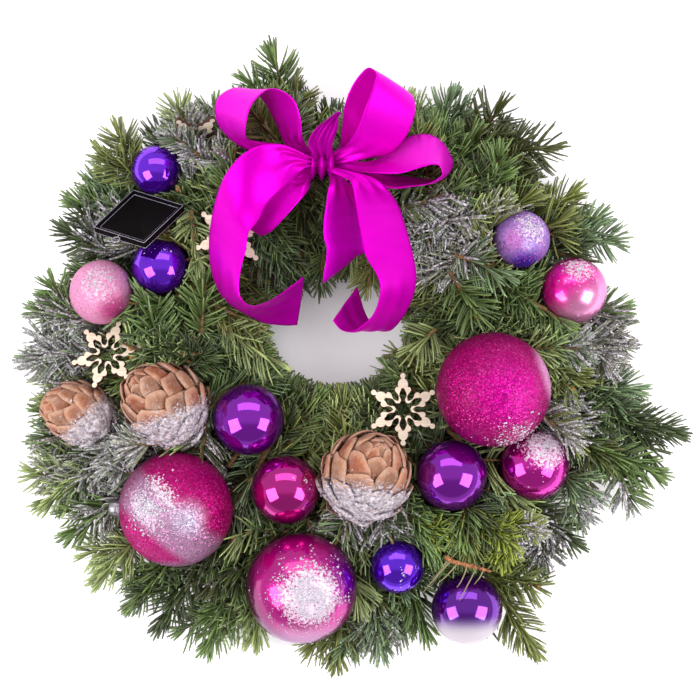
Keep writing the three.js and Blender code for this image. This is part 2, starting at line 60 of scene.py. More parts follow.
RING_CENTRE = np.array([-5.0, 10.0])
BUNCH_EDGES = [-5, 28, 62, 88, 112, 147, 170, 196, 227, 257, 292, 325, 355]  # degrees
HOLE_CENTRE, HOLE_HALF = np.array([-9.0, 18.0]), np.array([45.0, 36.0])
RIBBON_WIDTH, RIBBON_THICKNESS = 40.0, 0.45
FRAME_WIDTH, REFERENCE_Z = 490.0, 50.0  # what the picture's width spans at that height
FRAME_CENTRE = np.array([0.0, 5.6])
CAMERA_HEIGHT = 4500.0
UP = np.array([0.0, 0.0, 1.0])
MM = 0.001

# the angle and distance of each sprig tip round the outside, one row for each bunch
OUTER_TIPS = [
    [[0, 204], [7, 204], [14, 180], [26, 208]],
    [[33, 200], [43, 178], [54, 195]],
    [[66, 196], [76, 182], [84, 169]],
    [[93, 168], [103.5, 217]],
    [[118, 188], [124, 199], [132, 201], [137, 208], [142, 223]],
    [[148, 214], [152, 221], [158, 217], [165, 199]],
    [[174, 223], [183, 228], [191, 220]],
    [[198, 230], [208, 245], [215, 241], [224, 245]],
    [[231, 242], [237, 242], [246, 240], [253, 224]],
    [[261, 201], [269, 231], [277, 225], [286, 218]],
    [[297, 229], [302, 260], [311, 215], [319, 221]],
    [[329, 214], [337.5, 246], [345, 251], [351, 215]],
]

# where artificial snow was sprayed: x, y, how far it reaches, how thick it lies
FROST = [
    (-110, 149, 32, 0.9), (-168, 88, 28, 0.8), (-203, 6, 44, 0.95), (-160, -72, 42, 1.0),
    (-200, -70, 34, 0.6), (14, -104, 34, 0.8), (-8, -118, 26, 0.6), (21, -188, 30, 0.5),
    (63, 84, 40, 1.0), (178, 10, 34, 1.0), (150, -44, 26, 0.9), (133, -127, 24, 0.8),
    (182, -106, 30, 0.8), (-92, -62, 26, 0.6), (-160, -190, 30, 0.4), (108, 92, 30, 0.55),
    (-175, -112, 20, 0.7), (-95, -150, 26, 0.35), (60, -60, 22, 0.35),
]


def srgb(red, green, blue):
    """A colour given from 0 to 255 as light."""
    c = np.array([red, green, blue]) / 255
    return np.where(c <= 0.04045, c / 12.92, ((c + 0.055) / 1.055) ** 2.4)


def rgba(colour):
    return (*map(float, colour), 1.0)


# ---------------------------------------------------------------- places and frames

ring_low, ring_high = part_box("straw_ring")
ORIGIN = np.array([(ring_low.x + ring_high.x) / 2, (ring_low.y + ring_high.y) / 2, 0.0])
ORIGIN[:2] -= RING_CENTRE * MM


def place(points):
    return np.asarray(points, float) * MM + ORIGIN


def unit(vectors):
    vectors = np.asarray(vectors, float)
    return vectors / np.maximum(np.linalg.norm(vectors, axis=-1, keepdims=True), 1e-9)


def polar(degrees, radius, z):
    angle = math.radians(degrees)
    return np.array([
        RING_CENTRE[0] + radius * math.cos(angle), RING_CENTRE[1] + radius * math.sin(angle), z])


def along(direction):
    """The rows X, Y, Z of a frame whose Y axis goes along a direction, its Z as near up as can be."""
    y = unit(direction)
    x = unit(np.cross(y, UP))
    return np.array([x, y, np.cross(x, y)])


def facing(normal, turn=0.0):
    """The rows X, Y, Z of a frame whose Z axis is a normal, turned about it by an angle in degrees."""
    spin = Vector((0, 0, 1)).rotation_difference(Vector(unit(normal))).to_matrix()
    c, s = math.cos(math.radians(turn)), math.sin(math.radians(turn))
    turned = np.array(spin) @ np.array([[c, -s, 0], [s, c, 0], [0, 0, 1]])
    return turned.T


def smoothstep(x, low, high):
    t = np.clip((x - low) / (high - low), 0, 1)
    return t * t * (3 - 2 * t)


# ---------------------------------------------------------------- meshes and pieces

def build_mesh(name, points, quads=(), triangles=(), smooth=True):
    """A mesh of points in the model's frame."""
    mesh = bpy.data.meshes.new(name)
    quads = np.asarray(quads, np.int32).reshape(-1, 4)
    triangles = np.asarray(triangles, np.int32).reshape(-1, 3)
    corners = np.concatenate([quads.ravel(), triangles.ravel()])
    starts = np.concatenate([
        np.arange(len(quads)) * 4, len(quads) * 4 + np.arange(len(triangles)) * 3])
    mesh.vertices.add(len(points))
    mesh.vertices.foreach_set("co", np.asarray(points, np.float32).ravel())
    mesh.loops.add(len(corners))
    mesh.loops.foreach_set("vertex_index", corners)
    mesh.polygons.add(len(starts))
    mesh.polygons.foreach_set("loop_start", starts.astype(np.int32))
    mesh.update(calc_edges=True)
    if smooth:
        mesh.shade_smooth()
    return mesh


def paint(mesh, name, colours):
    layer = mesh.color_attributes.new(name, "FLOAT_COLOR", "POINT")
    colours = np.asarray(colours, np.float32)
    full = np.ones((len(colours), 4), np.float32)
    full[:, :3] = colours
    layer.data.foreach_set("color", full.ravel())


def weigh(mesh, name, values):
    layer = mesh.attributes.new(name, "FLOAT", "POINT")
    layer.data.foreach_set("value", np.asarray(values, np.float32))


def add_piece(name, mesh, materials, slot=None, replaces=()):
    piece = bpy.data.objects.new(name, mesh)
    bpy.context.scene.collection.objects.link(piece)
    for material in materials:
        mesh.materials.append(material)
    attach(piece, "root")
    if replaces:
        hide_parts(*replaces)
    return piece


def joined(parts):
    """Several bodies as one. A body is its points, quads and triangles."""
    points, quads, triangles, start = [], [], [], 0
    for p, q, t in parts:
        points.append(p)
        quads.append(np.asarray(q, int).reshape(-1, 4) + start)
        triangles.append(np.asarray(t, int).reshape(-1, 3) + start)
        start += len(p)
    return np.concatenate(points), np.concatenate(quads), np.concatenate(triangles)


def add_body(name, parts, material, slot, replaces=(), smooth=True):
    """A piece made of bodies whose points are in the wreath's own millimetres."""
    points, quads, triangles = joined(parts)
    mesh = build_mesh(name, place(points), quads, triangles, smooth)
    return add_piece(name, mesh, [material], slot, replaces)


def ring_quads(rows, sides, loop=False):
    """The faces between rings of points that follow each other."""
    i = np.arange(sides)
    j = (i + 1) % sides
    return np.concatenate([
        np.stack([k * sides + i, k * sides + j, (k + 1) * sides + j, (k + 1) * sides + i], 1)
        for k in range(rows if loop else rows - 1)]) % (rows * sides)


def end_fans(rows, sides):
    """The faces that close the first and the last ring round the two points after all rings."""
    i = np.arange(sides)
    j = (i + 1) % sides
    first, last = rows * sides, rows * sides + 1
    return np.concatenate([
        np.stack([np.full(sides, first), j, i], 1),
        np.stack([np.full(sides, last), (rows - 1) * sides + i, (rows - 1) * sides + j], 1)])


def lathe(profile, sides, crimp=None):
    """A closed body about the Y axis from (radius, height) pairs that start and end on it."""
    angles = np.arange(sides) * 2 * math.pi / sides
    rings = []
    for i, (radius, height) in enumerate(profile[1:-1]):
        r = radius * (1 + (crimp[i + 1] * np.cos(angles * sides / 4) if crimp else 0))
        r = np.broadcast_to(r, angles.shape)
        rings.append(np.stack([r * np.cos(angles), np.full(sides, height), -r * np.sin(angles)], 1))
    points = np.concatenate([*rings, [[0, profile[0][1], 0], [0, profile[-1][1], 0]]])
    quads, triangles = ring_quads(len(rings), sides), end_fans(len(rings), sides)
    if profile[0][1] > profile[-1][1]:
        quads, triangles = quads[:, ::-1], triangles[:, ::-1]
    return points, quads, triangles


def tube(path, radii, sides=6, loop=False):
    """A round tube along a path of points, closed at its ends unless it is a loop."""
    path = np.asarray(path, float)
    n = len(path)
    radii = np.broadcast_to(np.asarray(radii, float), n)
    way = unit(np.roll(path, -1, 0) - np.roll(path, 1, 0) if loop else np.gradient(path, axis=0))
    side = np.cross(way, UP)
    upright = np.linalg.norm(side, axis=1) < 1e-3
    side[upright] = [1, 0, 0]
    side = unit(side)[:, None]
    over = np.cross(side, way[:, None])
    angles = (np.arange(sides) * 2 * math.pi / sides)[None, :, None]
    round_it = radii[:, None, None] * (np.cos(angles) * side + np.sin(angles) * over)
    points = (path[:, None] + round_it).reshape(-1, 3)
    if loop:
        return points, ring_quads(n, sides, loop=True), ()
    return np.concatenate([points, path[:1], path[-1:]]), ring_quads(n, sides), end_fans(n, sides)


OCTAHEDRON = np.array([
    [1, 0, 0], [-1, 0, 0], [0, 1, 0], [0, -1, 0], [0, 0, 1], [0, 0, -1]], float)
OCTAHEDRON_FACES = np.array([
    [0, 2, 4], [2, 1, 4], [1, 3, 4], [3, 0, 4], [2, 0, 5], [1, 2, 5], [3, 1, 5], [0, 3, 5]])


FLATTENED = [0.4, 1.15, 0.9]  # the shape of a grain that lies on something: its thickness first


def add_crumbs(name, centres, sizes, slot, normals=None):
    """Rough grains of snow, each an uneven octahedron, flat where they lie on normals' surface."""
    count = len(centres)
    shape = OCTAHEDRON[None] * rng.uniform(0.55, 1.25, (count, 6, 1))
    turn = unit(rng.normal(size=(count, 3)))
    if normals is not None:
        turn = normals
        shape = shape * FLATTENED
    other = unit(np.cross(turn, rng.normal(size=(count, 3))))
    frames = np.stack([turn, other, np.cross(turn, other)], 1)
    points = np.einsum("kij,kjl->kil", shape * np.asarray(sizes)[:, None, None], frames)
    points += np.asarray(centres)[:, None]
    faces = OCTAHEDRON_FACES[None] + (np.arange(count) * len(OCTAHEDRON))[:, None, None]
    add_body(name, [(points.reshape(-1, 3), (), faces.reshape(-1, 3))], SNOW, slot, smooth=False)


# ---------------------------------------------------------------- materials

class Graph:
    """A node material with a few short ways to add nodes."""

    def __init__(self, name, **sockets):
        self.material = bpy.data.materials.new(name)
        self.material.use_nodes = True
        self.tree = self.material.node_tree
        self.shader = self.tree.nodes["Principled BSDF"]
        self.coords = self.add("ShaderNodeTexCoord").outputs["Object"]
        for socket, value in sockets.items():
            self.shader.inputs[socket.replace("_", " ")].default_value = value

    def add(self, kind, **settings):
        node = self.tree.nodes.new(kind)
        for key, value in settings.items():
            setattr(node, key, value)
        return node

    def link(self, source, target):
        if hasattr(source, "is_output"):
            self.tree.links.new(source, target)
        else:
            target.default_value = source

    def out(self, socket, source):
        self.link(source, self.shader.inputs[socket])
        return self

    def attribute(self, name, output="Color"):
        return self.add("ShaderNodeAttribute", attribute_name=name).outputs[output]

    def stretched(self, x, y, z, source=None):
        node = self.add("ShaderNodeMapping")
        self.link(source or self.coords, node.inputs["Vector"])
        node.inputs["Scale"].default_value = (x, y, z)
        return node.outputs["Vector"]

    def noise(self, scale, detail=3.0, coords=None, roughness=0.55):
        node = self.add("ShaderNodeTexNoise")
        self.link(coords or self.coords, node.inputs["Vector"])
        node.inputs["Scale"].default_value = scale
        node.inputs["Detail"].default_value = detail
        node.inputs["Roughness"].default_value = roughness
        return node.outputs["Fac"]

    def cells(self, scale, output="Color"):
        node = self.add("ShaderNodeTexVoronoi")
        self.link(self.coords, node.inputs["Vector"])
        node.inputs["Scale"].default_value = scale
        return node.outputs[output]

    def math(self, operation, a, b):
        node = self.add("ShaderNodeMath", operation=operation)
        self.link(a, node.inputs[0])
        self.link(b, node.inputs[1])
        return node.outputs[0]

    def vector(self, operation, a, b=None, into=1, output=0):
        node = self.add("ShaderNodeVectorMath", operation=operation)
        self.link(a, node.inputs[0])
        if b is not None:
            self.link(b, node.inputs[into])
        return node.outputs[output]

    def split(self, source, kind="Color"):
        node = self.add("ShaderNodeSeparate" + kind)
        self.link(source, node.inputs[0])
        return node.outputs

    def ranged(self, value, low, high, to_low=0.0, to_high=1.0):
        node = self.add("ShaderNodeMapRange")
        for i, x in enumerate((value, low, high, to_low, to_high)):
            self.link(x, node.inputs[i])
        return node.outputs[0]

    def mix(self, factor, a, b, blend="MIX"):
        node = self.add("ShaderNodeMix", data_type="RGBA", blend_type=blend)
        for i, x in ((0, factor), (6, a), (7, b)):
            if not hasattr(x, "is_output") and i:
                x = rgba(x[:3])
            self.link(x, node.inputs[i])
        return node.outputs[2]

    def cover(self, name, grain, unevenness, low, high):
        """How far a surface is covered where an attribute and an uneven grain say so."""
        uneven = self.math("MULTIPLY", self.math("SUBTRACT", grain, 0.5), unevenness)
        return self.ranged(self.math("ADD", self.attribute(name, "Fac"), uneven), low, high)

    def bump(self, height, strength, distance):
        node = self.add("ShaderNodeBump")
        node.inputs["Strength"].default_value = strength
        node.inputs["Distance"].default_value = distance
        self.link(height, node.inputs["Height"])
        self.link(node.outputs["Normal"], self.shader.inputs["Normal"])
        return self


def needle_material():
    g = Graph("fir_needles", Specular_IOR_Level=0.6)
    green = g.mix(g.ranged(g.noise(260.0, 2.0), 0.3, 0.7, 0.0, 0.45), g.attribute("tint"),
                  (0.5, 0.5, 0.5), "OVERLAY")
    grain = g.noise(1100.0, 3.0, roughness=0.7)
    cover = g.cover("frost", grain, 2.2, 0.35, 0.62)
    flecks = g.mix(g.ranged(g.noise(420.0, 2.0), 0.35, 0.65), srgb(112, 104, 108), srgb(236, 232, 238))
    g.out("Base Color", g.mix(cover, green, flecks))
    g.out("Roughness", g.ranged(cover, 0.0, 1.0, 0.34, 0.85))
    return g.bump(grain, 0.4, 0.0004).material


def mottled(name, scale, dark, pale, detail=3.0, **sockets):
    """A material's graph whose colour wavers between two."""
    g = Graph(name, **sockets)
    g.out("Base Color", g.mix(g.noise(scale, detail), dark, pale))
    return g


def grained(name, scale, detail, dark, pale, relief, stretch=None, roughness=0.55, **sockets):
    """A material whose grain makes both its colour and its relief: (strength, depth in metres)."""
    g = Graph(name, **sockets)
    grain = g.noise(scale, detail, g.stretched(*stretch) if stretch else None, roughness)
    g.out("Base Color", g.mix(g.ranged(grain, 0.3, 0.7), dark, pale))
    return g.bump(grain, *relief).material


def bark_material(name, dark, pale):
    return grained(name, 420.0, 5.0, dark, pale, (0.6, 0.0006), Roughness=0.85, Specular_IOR_Level=0.25)


def bud_material():
    g = mottled("fir_buds", 500.0, srgb(140, 78, 36), srgb(205, 150, 84), Roughness=0.5)
    return g.bump(g.cells(900.0, "Distance"), 0.4, 0.0003).material


def snow_material():
    g = mottled("artificial_snow", 300.0, srgb(188, 176, 192), srgb(228, 220, 232),
                Specular_IOR_Level=0.6)
    g.out("Roughness", g.ranged(g.split(g.cells(1500.0))[0], 0.0, 1.0, 0.15, 0.75))
    return g.material


def snowed(g, colour, metal, rough):
    """Covers a surface with a film of snow where its snow attribute and noise say so."""
    grain = g.noise(520.0, 4.0, roughness=0.7)
    cover = g.cover("snow", grain, 1.5, 0.42, 0.60)
    g.out("Base Color", g.mix(cover, colour, srgb(226, 210, 224)))
    matt = g.math("MAXIMUM", cover, g.attribute("matt", "Fac"))
    g.out("Metallic", g.ranged(matt, 0.0, 1.0, metal, 0.0))
    g.out("Roughness", g.ranged(matt, 0.0, 1.0, rough, 0.7))
    return g.bump(g.math("MULTIPLY", grain, cover), 0.5, 0.0008)


def gloss_material(name, metal=0.85, rough=0.09):
    g = Graph(name, Coat_Weight=0.65, Coat_Roughness=0.03, Coat_IOR=1.6, Specular_IOR_Level=0.5,
              Specular_Tint=(0.75, 0.35, 0.8, 1.0))
    waver = g.noise(34.0, 2.0)
    tint = g.mix(g.ranged(waver, 0.35, 0.65, 0.0, 0.12), g.attribute("tint"), (1, 1, 1), "SOFT_LIGHT")
    return snowed(g, tint, metal, rough).material


def glitter_material(name, cell, strength, metal=0.55, rough=0.32):
    """Fine flakes, each facing its own way. cell is the flakes' size in metres."""
    g = Graph(name, Coat_Weight=0.06, Coat_Roughness=0.2, Specular_IOR_Level=0.4,
              Specular_Tint=(1.0, 0.3, 0.8, 1.0))
    flake = g.cells(1 / cell)
    shadow, sparkle, _ = g.split(flake)
    # painted shade darkens some flakes, and painted glints turn others bright pink
    colour = g.mix(g.ranged(shadow, 0.0, 0.5, 0.45, 0.0), g.attribute("tint"), srgb(70, 0, 30))
    colour = g.mix(g.ranged(sparkle, 0.90, 0.99, 0.0, 0.6), colour, srgb(255, 110, 205))
    snowed(g, colour, metal, rough)
    lean = g.vector("SCALE", g.vector("SUBTRACT", flake, (0.5, 0.5, 0.5)), strength, "Scale")
    turned = g.vector("ADD", lean, g.add("ShaderNodeNewGeometry").outputs["Normal"])
    g.out("Normal", g.vector("NORMALIZE", turned))
    return g.material


def silver_material():
    g = mottled("silver_metal", 220.0, srgb(116, 112, 120), srgb(186, 182, 188), Metallic=1.0)
    g.out("Roughness", g.ranged(g.noise(700.0), 0.3, 0.7, 0.28, 0.5))
    return g.material


def cone_material():
    g = Graph("cone_scales", Specular_IOR_Level=0.3, Roughness=0.7)
    streaks = g.noise(210.0, 6.0, roughness=0.75)
    colour = g.mix(g.ranged(streaks, 0.3, 0.7), g.attribute("tint"), srgb(142, 96, 74), "SOFT_LIGHT")
    colour = g.mix(g.ranged(g.noise(120.0, 3.0), 0.5, 0.75, 0.0, 0.45), colour, srgb(190, 160, 148))
    resin = g.ranged(g.noise(330.0, 2.0), 0.62, 0.72, 0.0, 0.5)
    colour = g.mix(resin, colour, srgb(206, 184, 176))
    grain = g.noise(600.0, 4.0, roughness=0.7)
    cover = g.cover("snow", grain, 2.2, 0.36, 0.56)
    white = g.mix(g.ranged(g.noise(380.0, 4.0), 0.35, 0.65), srgb(138, 122, 128), srgb(232, 224, 232))
    g.out("Base Color", g.mix(cover, colour, white))
    return g.bump(g.math("ADD", streaks, g.math("MULTIPLY", grain, 0.5)), 0.8, 0.0016).material


def lacquer_material():
    g = Graph("black_lacquer", Specular_IOR_Level=0.05)
    speck = g.noise(700.0, 3.0)
    g.out("Base Color", g.mix(speck, srgb(5, 3, 3), srgb(12, 7, 7)))
    g.out("Roughness", g.ranged(speck, 0.3, 0.7, 0.6, 0.8))
    return g.material


def satin_material():
    g = Graph("ribbon_satin", Metallic=0.45, Sheen_Weight=0.12, Sheen_Roughness=0.35,
              Sheen_Tint=rgba(srgb(255, 0, 220)), Specular_IOR_Level=0.25,
              Specular_Tint=(1.0, 0.1, 0.9, 1.0))
    cloth = g.add("ShaderNodeUVMap", uv_map="ribbon").outputs[0]
    weft = g.noise(1.0, 2.0, g.stretched(2600.0, 60.0, 1.0, cloth))
    slub = g.noise(1.0, 3.0, g.stretched(160.0, 24.0, 1.0, cloth))
    g.out("Base Color", g.mix(g.ranged(slub, 0.3, 0.7, 0.0, 0.14), g.attribute("tint"), (0.2, 0, 0.2)))
    g.out("Roughness", g.ranged(slub, 0.3, 0.7, 0.34, 0.42))
    return g.bump(weft, 0.12, 0.0002).material


def floor_material():
    g = mottled("pale_floor_painted_glow", 3.0, (0.90, 0.89, 0.91), (0.93, 0.925, 0.935), 2.0,
                Roughness=0.75, Specular_IOR_Level=0.2)
    g.shader.inputs["Emission Color"].default_value = (1.0, 0.93, 0.98, 1.0)
    # painted light: the floor glows to lift its shadows, but not where the wreath lies on it, and less
    # below the bow, which is painted shade
    away = g.vector("DISTANCE", g.coords, tuple(place([*RING_CENTRE, 0])), output="Value")
    painted_shade_below_bow = g.ranged(g.split(g.coords, "XYZ")[1], 0.0, 0.05, 0.55, 0.1)
    inside = g.math("MULTIPLY", g.ranged(away, 0.038, 0.062, 1.0, 0.0), painted_shade_below_bow)
    outside = g.ranged(away, 0.10, 0.17)
    g.out("Emission Strength", g.math("MULTIPLY", g.math("MAXIMUM", inside, outside), 0.42))
    return g.material


NEEDLES, BUDS, SNOW = needle_material(), bud_material(), snow_material()
BARK = bark_material("fir_bark", srgb(84, 62, 38), srgb(140, 108, 70))
RED_BARK = bark_material("cut_twig_bark", srgb(92, 50, 32), srgb(204, 140, 96))
SILVER, CONE, LACQUER, SATIN = silver_material(), cone_material(), lacquer_material(), satin_material()
BIRCH = grained("birch_face", 90.0, 6.0, srgb(222, 200, 174), srgb(244, 230, 212), (0.15, 0.0003),
                stretch=(1.0, 9.0, 1.0), roughness=0.6, Roughness=0.6, Specular_IOR_Level=0.3)
BURNT = mottled("birch_burnt_edge", 300.0, srgb(40, 22, 12), srgb(84, 48, 26), 4.0,
                Roughness=0.8).material
EDGE_HIGHLIGHT = mottled("tag_edge_painted_highlight", 500.0, srgb(150, 142, 160), srgb(205, 198, 214),
                    Roughness=0.35, Metallic=0.6).material
STRAW = grained("straw", 120.0, 6.0, srgb(134, 104, 56), srgb(226, 198, 134), (0.9, 0.002),
                stretch=(1.0, 1.0, 12.0), roughness=0.7, Roughness=0.9)
WIRE = mottled("florist_wire", 400.0, srgb(60, 78, 52), srgb(96, 112, 84),
               Metallic=0.7, Roughness=0.45).material
GLOSS = gloss_material("bauble_gloss")
SATIN_BALL = gloss_material("bauble_satin", 0.7, 0.25)
FINE_GLITTER = glitter_material("bauble_fine_glitter", 0.0007, 0.9)
FROSTED = glitter_material("bauble_frosted", 0.0008, 0.5, 0.15, 0.55)

# ---------------------------------------------------------------- camera and light

camera = bpy.data.objects.new("camera", bpy.data.cameras.new("camera"))
bpy.context.scene.collection.objects.link(camera)
camera.location = place([*FRAME_CENTRE, CAMERA_HEIGHT])
camera.data.angle = 2 * math.atan(FRAME_WIDTH / 2 / (CAMERA_HEIGHT - REFERENCE_Z))
camera.data.clip_end = 50
bpy.context.scene.camera = camera


def add_softbox(name, location, size, watts):
    """A rectangular light that faces the wreath."""
    data = bpy.data.lights.new(name, "AREA")
    data.shape, data.size, data.size_y = "RECTANGLE", *size
    data.energy = watts
    light = bpy.data.objects.new(name, data)
    bpy.context.scene.collection.objects.link(light)
    light.location = location
    light.rotation_euler = (-Vector(location)).to_track_quat("-Z", "Y").to_euler()


# name, place and size in metres, power in watts
add_softbox("softbox_left", (-0.92, -0.40, 0.86), (0.8, 0.8), 12)
add_softbox("softbox_right", (0.98, -0.36, 0.84), (0.8, 0.8), 12)
add_softbox("reflector_top", (0.0, 1.15, 1.25), (2.2, 0.75), 11)


def studio_world():
    """A pale room, dimmer behind the light stands at the foot of the wreath."""
    room = bpy.data.worlds.new("studio")
    room.use_nodes = True
    nodes, links = room.node_tree.nodes, room.node_tree.links
    nodes["Background"].inputs["Color"].default_value = (1.0, 0.99, 1.0, 1.0)
    split = nodes.new("ShaderNodeSeparateXYZ")
    links.new(nodes.new("ShaderNodeTexCoord").outputs["Generated"], split.inputs[0])

    def ranged(source, low, high, to_low, to_high):
        node = nodes.new("ShaderNodeMapRange")
        node.interpolation_type = "SMOOTHSTEP"
        links.new(source, node.inputs[0])
        for i, value in enumerate((low, high, to_low, to_high)):
            node.inputs[i + 1].default_value = value
        return node.outputs[0]

    towards_foot = ranged(split.outputs["Y"], -0.45, 0.05, 1.0, 0.0)
    above_horizon = ranged(split.outputs["Z"], 0.12, 0.35, 0.0, 1.0)
    both = nodes.new("ShaderNodeMath")
    both.operation = "MULTIPLY"
    links.new(towards_foot, both.inputs[0])
    links.new(above_horizon, both.inputs[1])
    links.new(ranged(both.outputs[0], 0.0, 1.0, 0.70, 0.30), nodes["Background"].inputs["Strength"])
    return room


bpy.context.scene.world = studio_world()
bpy.context.scene.view_settings.view_transform = "Standard"

FLOOR_SIZE, FLOOR_STEPS = 6.0, 12  # metres, squares along a side


def add_floor():
    side = np.linspace(-FLOOR_SIZE / 2, FLOOR_SIZE / 2, FLOOR_STEPS + 1)
    points = [[x, y, 0.0] for y in side for x in side]
    low = np.arange(FLOOR_STEPS)
    first = (low[:, None] * (FLOOR_STEPS + 1) + low).ravel()
    quads = np.stack([first, first + 1, first + FLOOR_STEPS + 2, first + FLOOR_STEPS + 1], 1)
    floor = bpy.data.objects.new("floor", build_mesh("floor", points, quads))
    floor.data.materials.append(floor_material())
    bpy.context.scene.collection.objects.link(floor)


add_floor()

# ---------------------------------------------------------------- straw ring and wire

for node, material in (("straw_ring", STRAW), ("binding_wire", WIRE)):
    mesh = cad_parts[node].data
    mesh.materials.clear()
    mesh.materials.append(material)

# the stalks on its outside run round it, a little askew
STRAW_RADIUS, STRAW_CENTRE_Z = 15.0, 13.0
STALKS, STALK_RADIUS, STALK_STEPS = 420, 0.75, 12


def add_straw_stalks():
    chance = np.random.default_rng(83)
    reach = (ring_high.x - ring_low.x) * 500 - STRAW_RADIUS  # half the ring's width, in mm, less that
    parts = []
    for _ in range(STALKS):
        first, span = chance.uniform(0, 2 * math.pi), math.radians(chance.uniform(18, 42))
        around = first + np.linspace(0, span, STALK_STEPS)
        slant = chance.uniform(0, 2 * math.pi) + np.linspace(0, chance.uniform(-0.5, 0.5), STALK_STEPS)
        lift = STRAW_RADIUS + chance.uniform(-0.5, 0.4)
        out = reach + lift * np.cos(slant)
        height = STRAW_CENTRE_Z + lift * np.sin(slant)
        path = np.stack([RING_CENTRE[0] + out * np.cos(around), RING_CENTRE[1] + out * np.sin(around),
                         height], 1)
        if height.min() > STALK_RADIUS + 0.3:
            parts.append(tube(path, STALK_RADIUS * chance.uniform(0.7, 1.1), 6))
    add_body("straw_stalks", parts, STRAW, "straw")


add_straw_stalks()

# ---------------------------------------------------------------- baubles

VIOLET, PURPLE, MAGENTA = srgb(112, 12, 232), srgb(134, 0, 178), srgb(200, 0, 156)
FUCHSIA, SILVERY, PALE_PINK = srgb(170, 0, 102), srgb(170, 136, 166), srgb(222, 148, 186)
HOT_PINK, LILAC, INDIGO = srgb(226, 0, 150), srgb(158, 122, 200), srgb(56, 34, 150)


def blend(a, b, share):
    return a + (b - a) * np.asarray(share)[:, None]


def patch(n, x, y, reach, soft=0.25):
    """How much of a round patch on a ball's face shows at each direction n."""
    centre = np.array([x, y, math.sqrt(max(0.0, 1 - x * x - y * y))])
    away = np.arccos(np.clip(n @ centre, -1, 1))
    return 1 - smoothstep(away, reach - soft, reach + soft)


# painted shade: a ball's colour darkened towards its rim, where its surface turns away from above
def with_painted_rim_shade(colours, n, share=0.5):
    return colours * (1 - share * (1 - smoothstep(n[:, 2], 0.1, 0.62)))[:, None]


# each colouring gives a ball's colour and how much snow lies on it at each direction n

def plain(colour):
    return lambda n: (with_painted_rim_shade(colour, n, 0.35), np.zeros(len(n)))


def left_frosted(n):
    fuchsia = 0.8 * patch(n, 0.42, -0.55, 0.45, 0.3)
    colour = blend(PALE_PINK, FUCHSIA, fuchsia)
    return colour, 0.42 * patch(n, -0.1, 0.3, 0.8, 0.4)


def banded(n):
    across = n @ unit([0.62, 0.72, 0.1])
    band = smoothstep(across, -0.62, -0.4) * (1 - smoothstep(across, 0.05, 0.3))
    colour = blend(FUCHSIA, SILVERY, 0.9 * band)
    # painted highlight: a smooth pale spot right of the middle; painted reflections: a silvery rim at the
    # foot and a paler rim at the upper left
    colour = blend(colour, srgb(208, 196, 222), patch(n, 0.25, -0.15, 0.22, 0.25))
    colour = blend(colour, SILVERY, 0.8 * smoothstep(-n[:, 1], 0.86, 0.97))
    colour = blend(colour, srgb(150, 70, 110), 0.6 * smoothstep(-n[:, 0] + 0.6 * n[:, 1], 0.85, 1.1))
    streaks = 0.12 * np.sin(9 * across + 3 * n[:, 0])
    return colour, (0.5 + streaks) * patch(n, -0.38, 0.14, 0.55, 0.4)


def snowy(n):
    colour = blend(srgb(184, 0, 130), srgb(168, 118, 152),
                   smoothstep(-n[:, 1], 0.5, 0.92))
    # painted reflection: a purple gleam at the right; painted shade: darker towards the lower left
    colour = blend(colour, srgb(120, 0, 160), 0.8 * patch(n, 0.88, 0.25, 0.45, 0.3))
    colour = blend(colour, srgb(90, 0, 58), 0.85 * smoothstep(-n @ unit([0.9, 0.43, 0]), 0.5, 0.9))
    return with_painted_rim_shade(colour, n, 0.68), 0.66 * patch(n, 0.18, -0.12, 0.66, 0.42)


def painted_rim_reflection(n):
    """A paler crescent at the right rim: a painted reflection."""
    return smoothstep(n @ unit([0.95, 0.31, 0.0]), 0.80, 0.96)


def large(n):
    colour = blend(srgb(166, 0, 104), srgb(224, 160, 208), 0.9 * painted_rim_reflection(n))
    # painted highlight: a brighter patch right of the middle
    colour = blend(colour, srgb(205, 0, 150), 0.7 * patch(n, 0.3, -0.1, 0.5, 0.4))
    return with_painted_rim_shade(colour, n, 0.25), 0.4 * patch(n, 0.4, -0.8, 0.42, 0.3)


def snow_topped(n):
    return with_painted_rim_shade(MAGENTA, n), 0.58 * patch(n, 0.3, 0.55, 0.78, 0.4)


def painted_white(n):
    """How far the paint has turned white, from none above to all at the foot."""
    return smoothstep(-n[:, 1], 0.15, 0.68)


def half_white(n):
    white = painted_white(n)
    dark = with_painted_rim_shade(srgb(96, 0, 150), n)
    return blend(dark, srgb(190, 182, 190), white), np.zeros(len(n))


def lilac(n):
    rosy = 0.7 * patch(n, -0.3, 0.0, 0.4, 0.35)
    colour = blend(LILAC, srgb(190, 112, 182), rosy)
    colour = blend(colour, INDIGO, patch(n, 0.1, -0.85, 0.55, 0.35))
    # painted highlight: a pale spot below and right of the middle
    colour = blend(colour, srgb(200, 188, 240), 0.7 * patch(n, 0.2, -0.22, 0.16, 0.2))
    return colour, 0.46 * patch(n, 0.35, 0.45, 0.8, 0.4)


def pink_right(n):
    pale = smoothstep(n @ unit([0.55, -0.83, 0.0]), -0.25, 0.5)
    colour = blend(HOT_PINK, srgb(228, 140, 190), pale)
    return with_painted_rim_shade(colour, n, 0.3), 0.5 * patch(n, 0.15, 0.7, 0.62, 0.35)


# where the gloss or the glitter is missing: the white paint of one ball, and the painted reflection at the
# large one's right rim
MATT_PARTS = {half_white: painted_white, large: painted_rim_reflection}

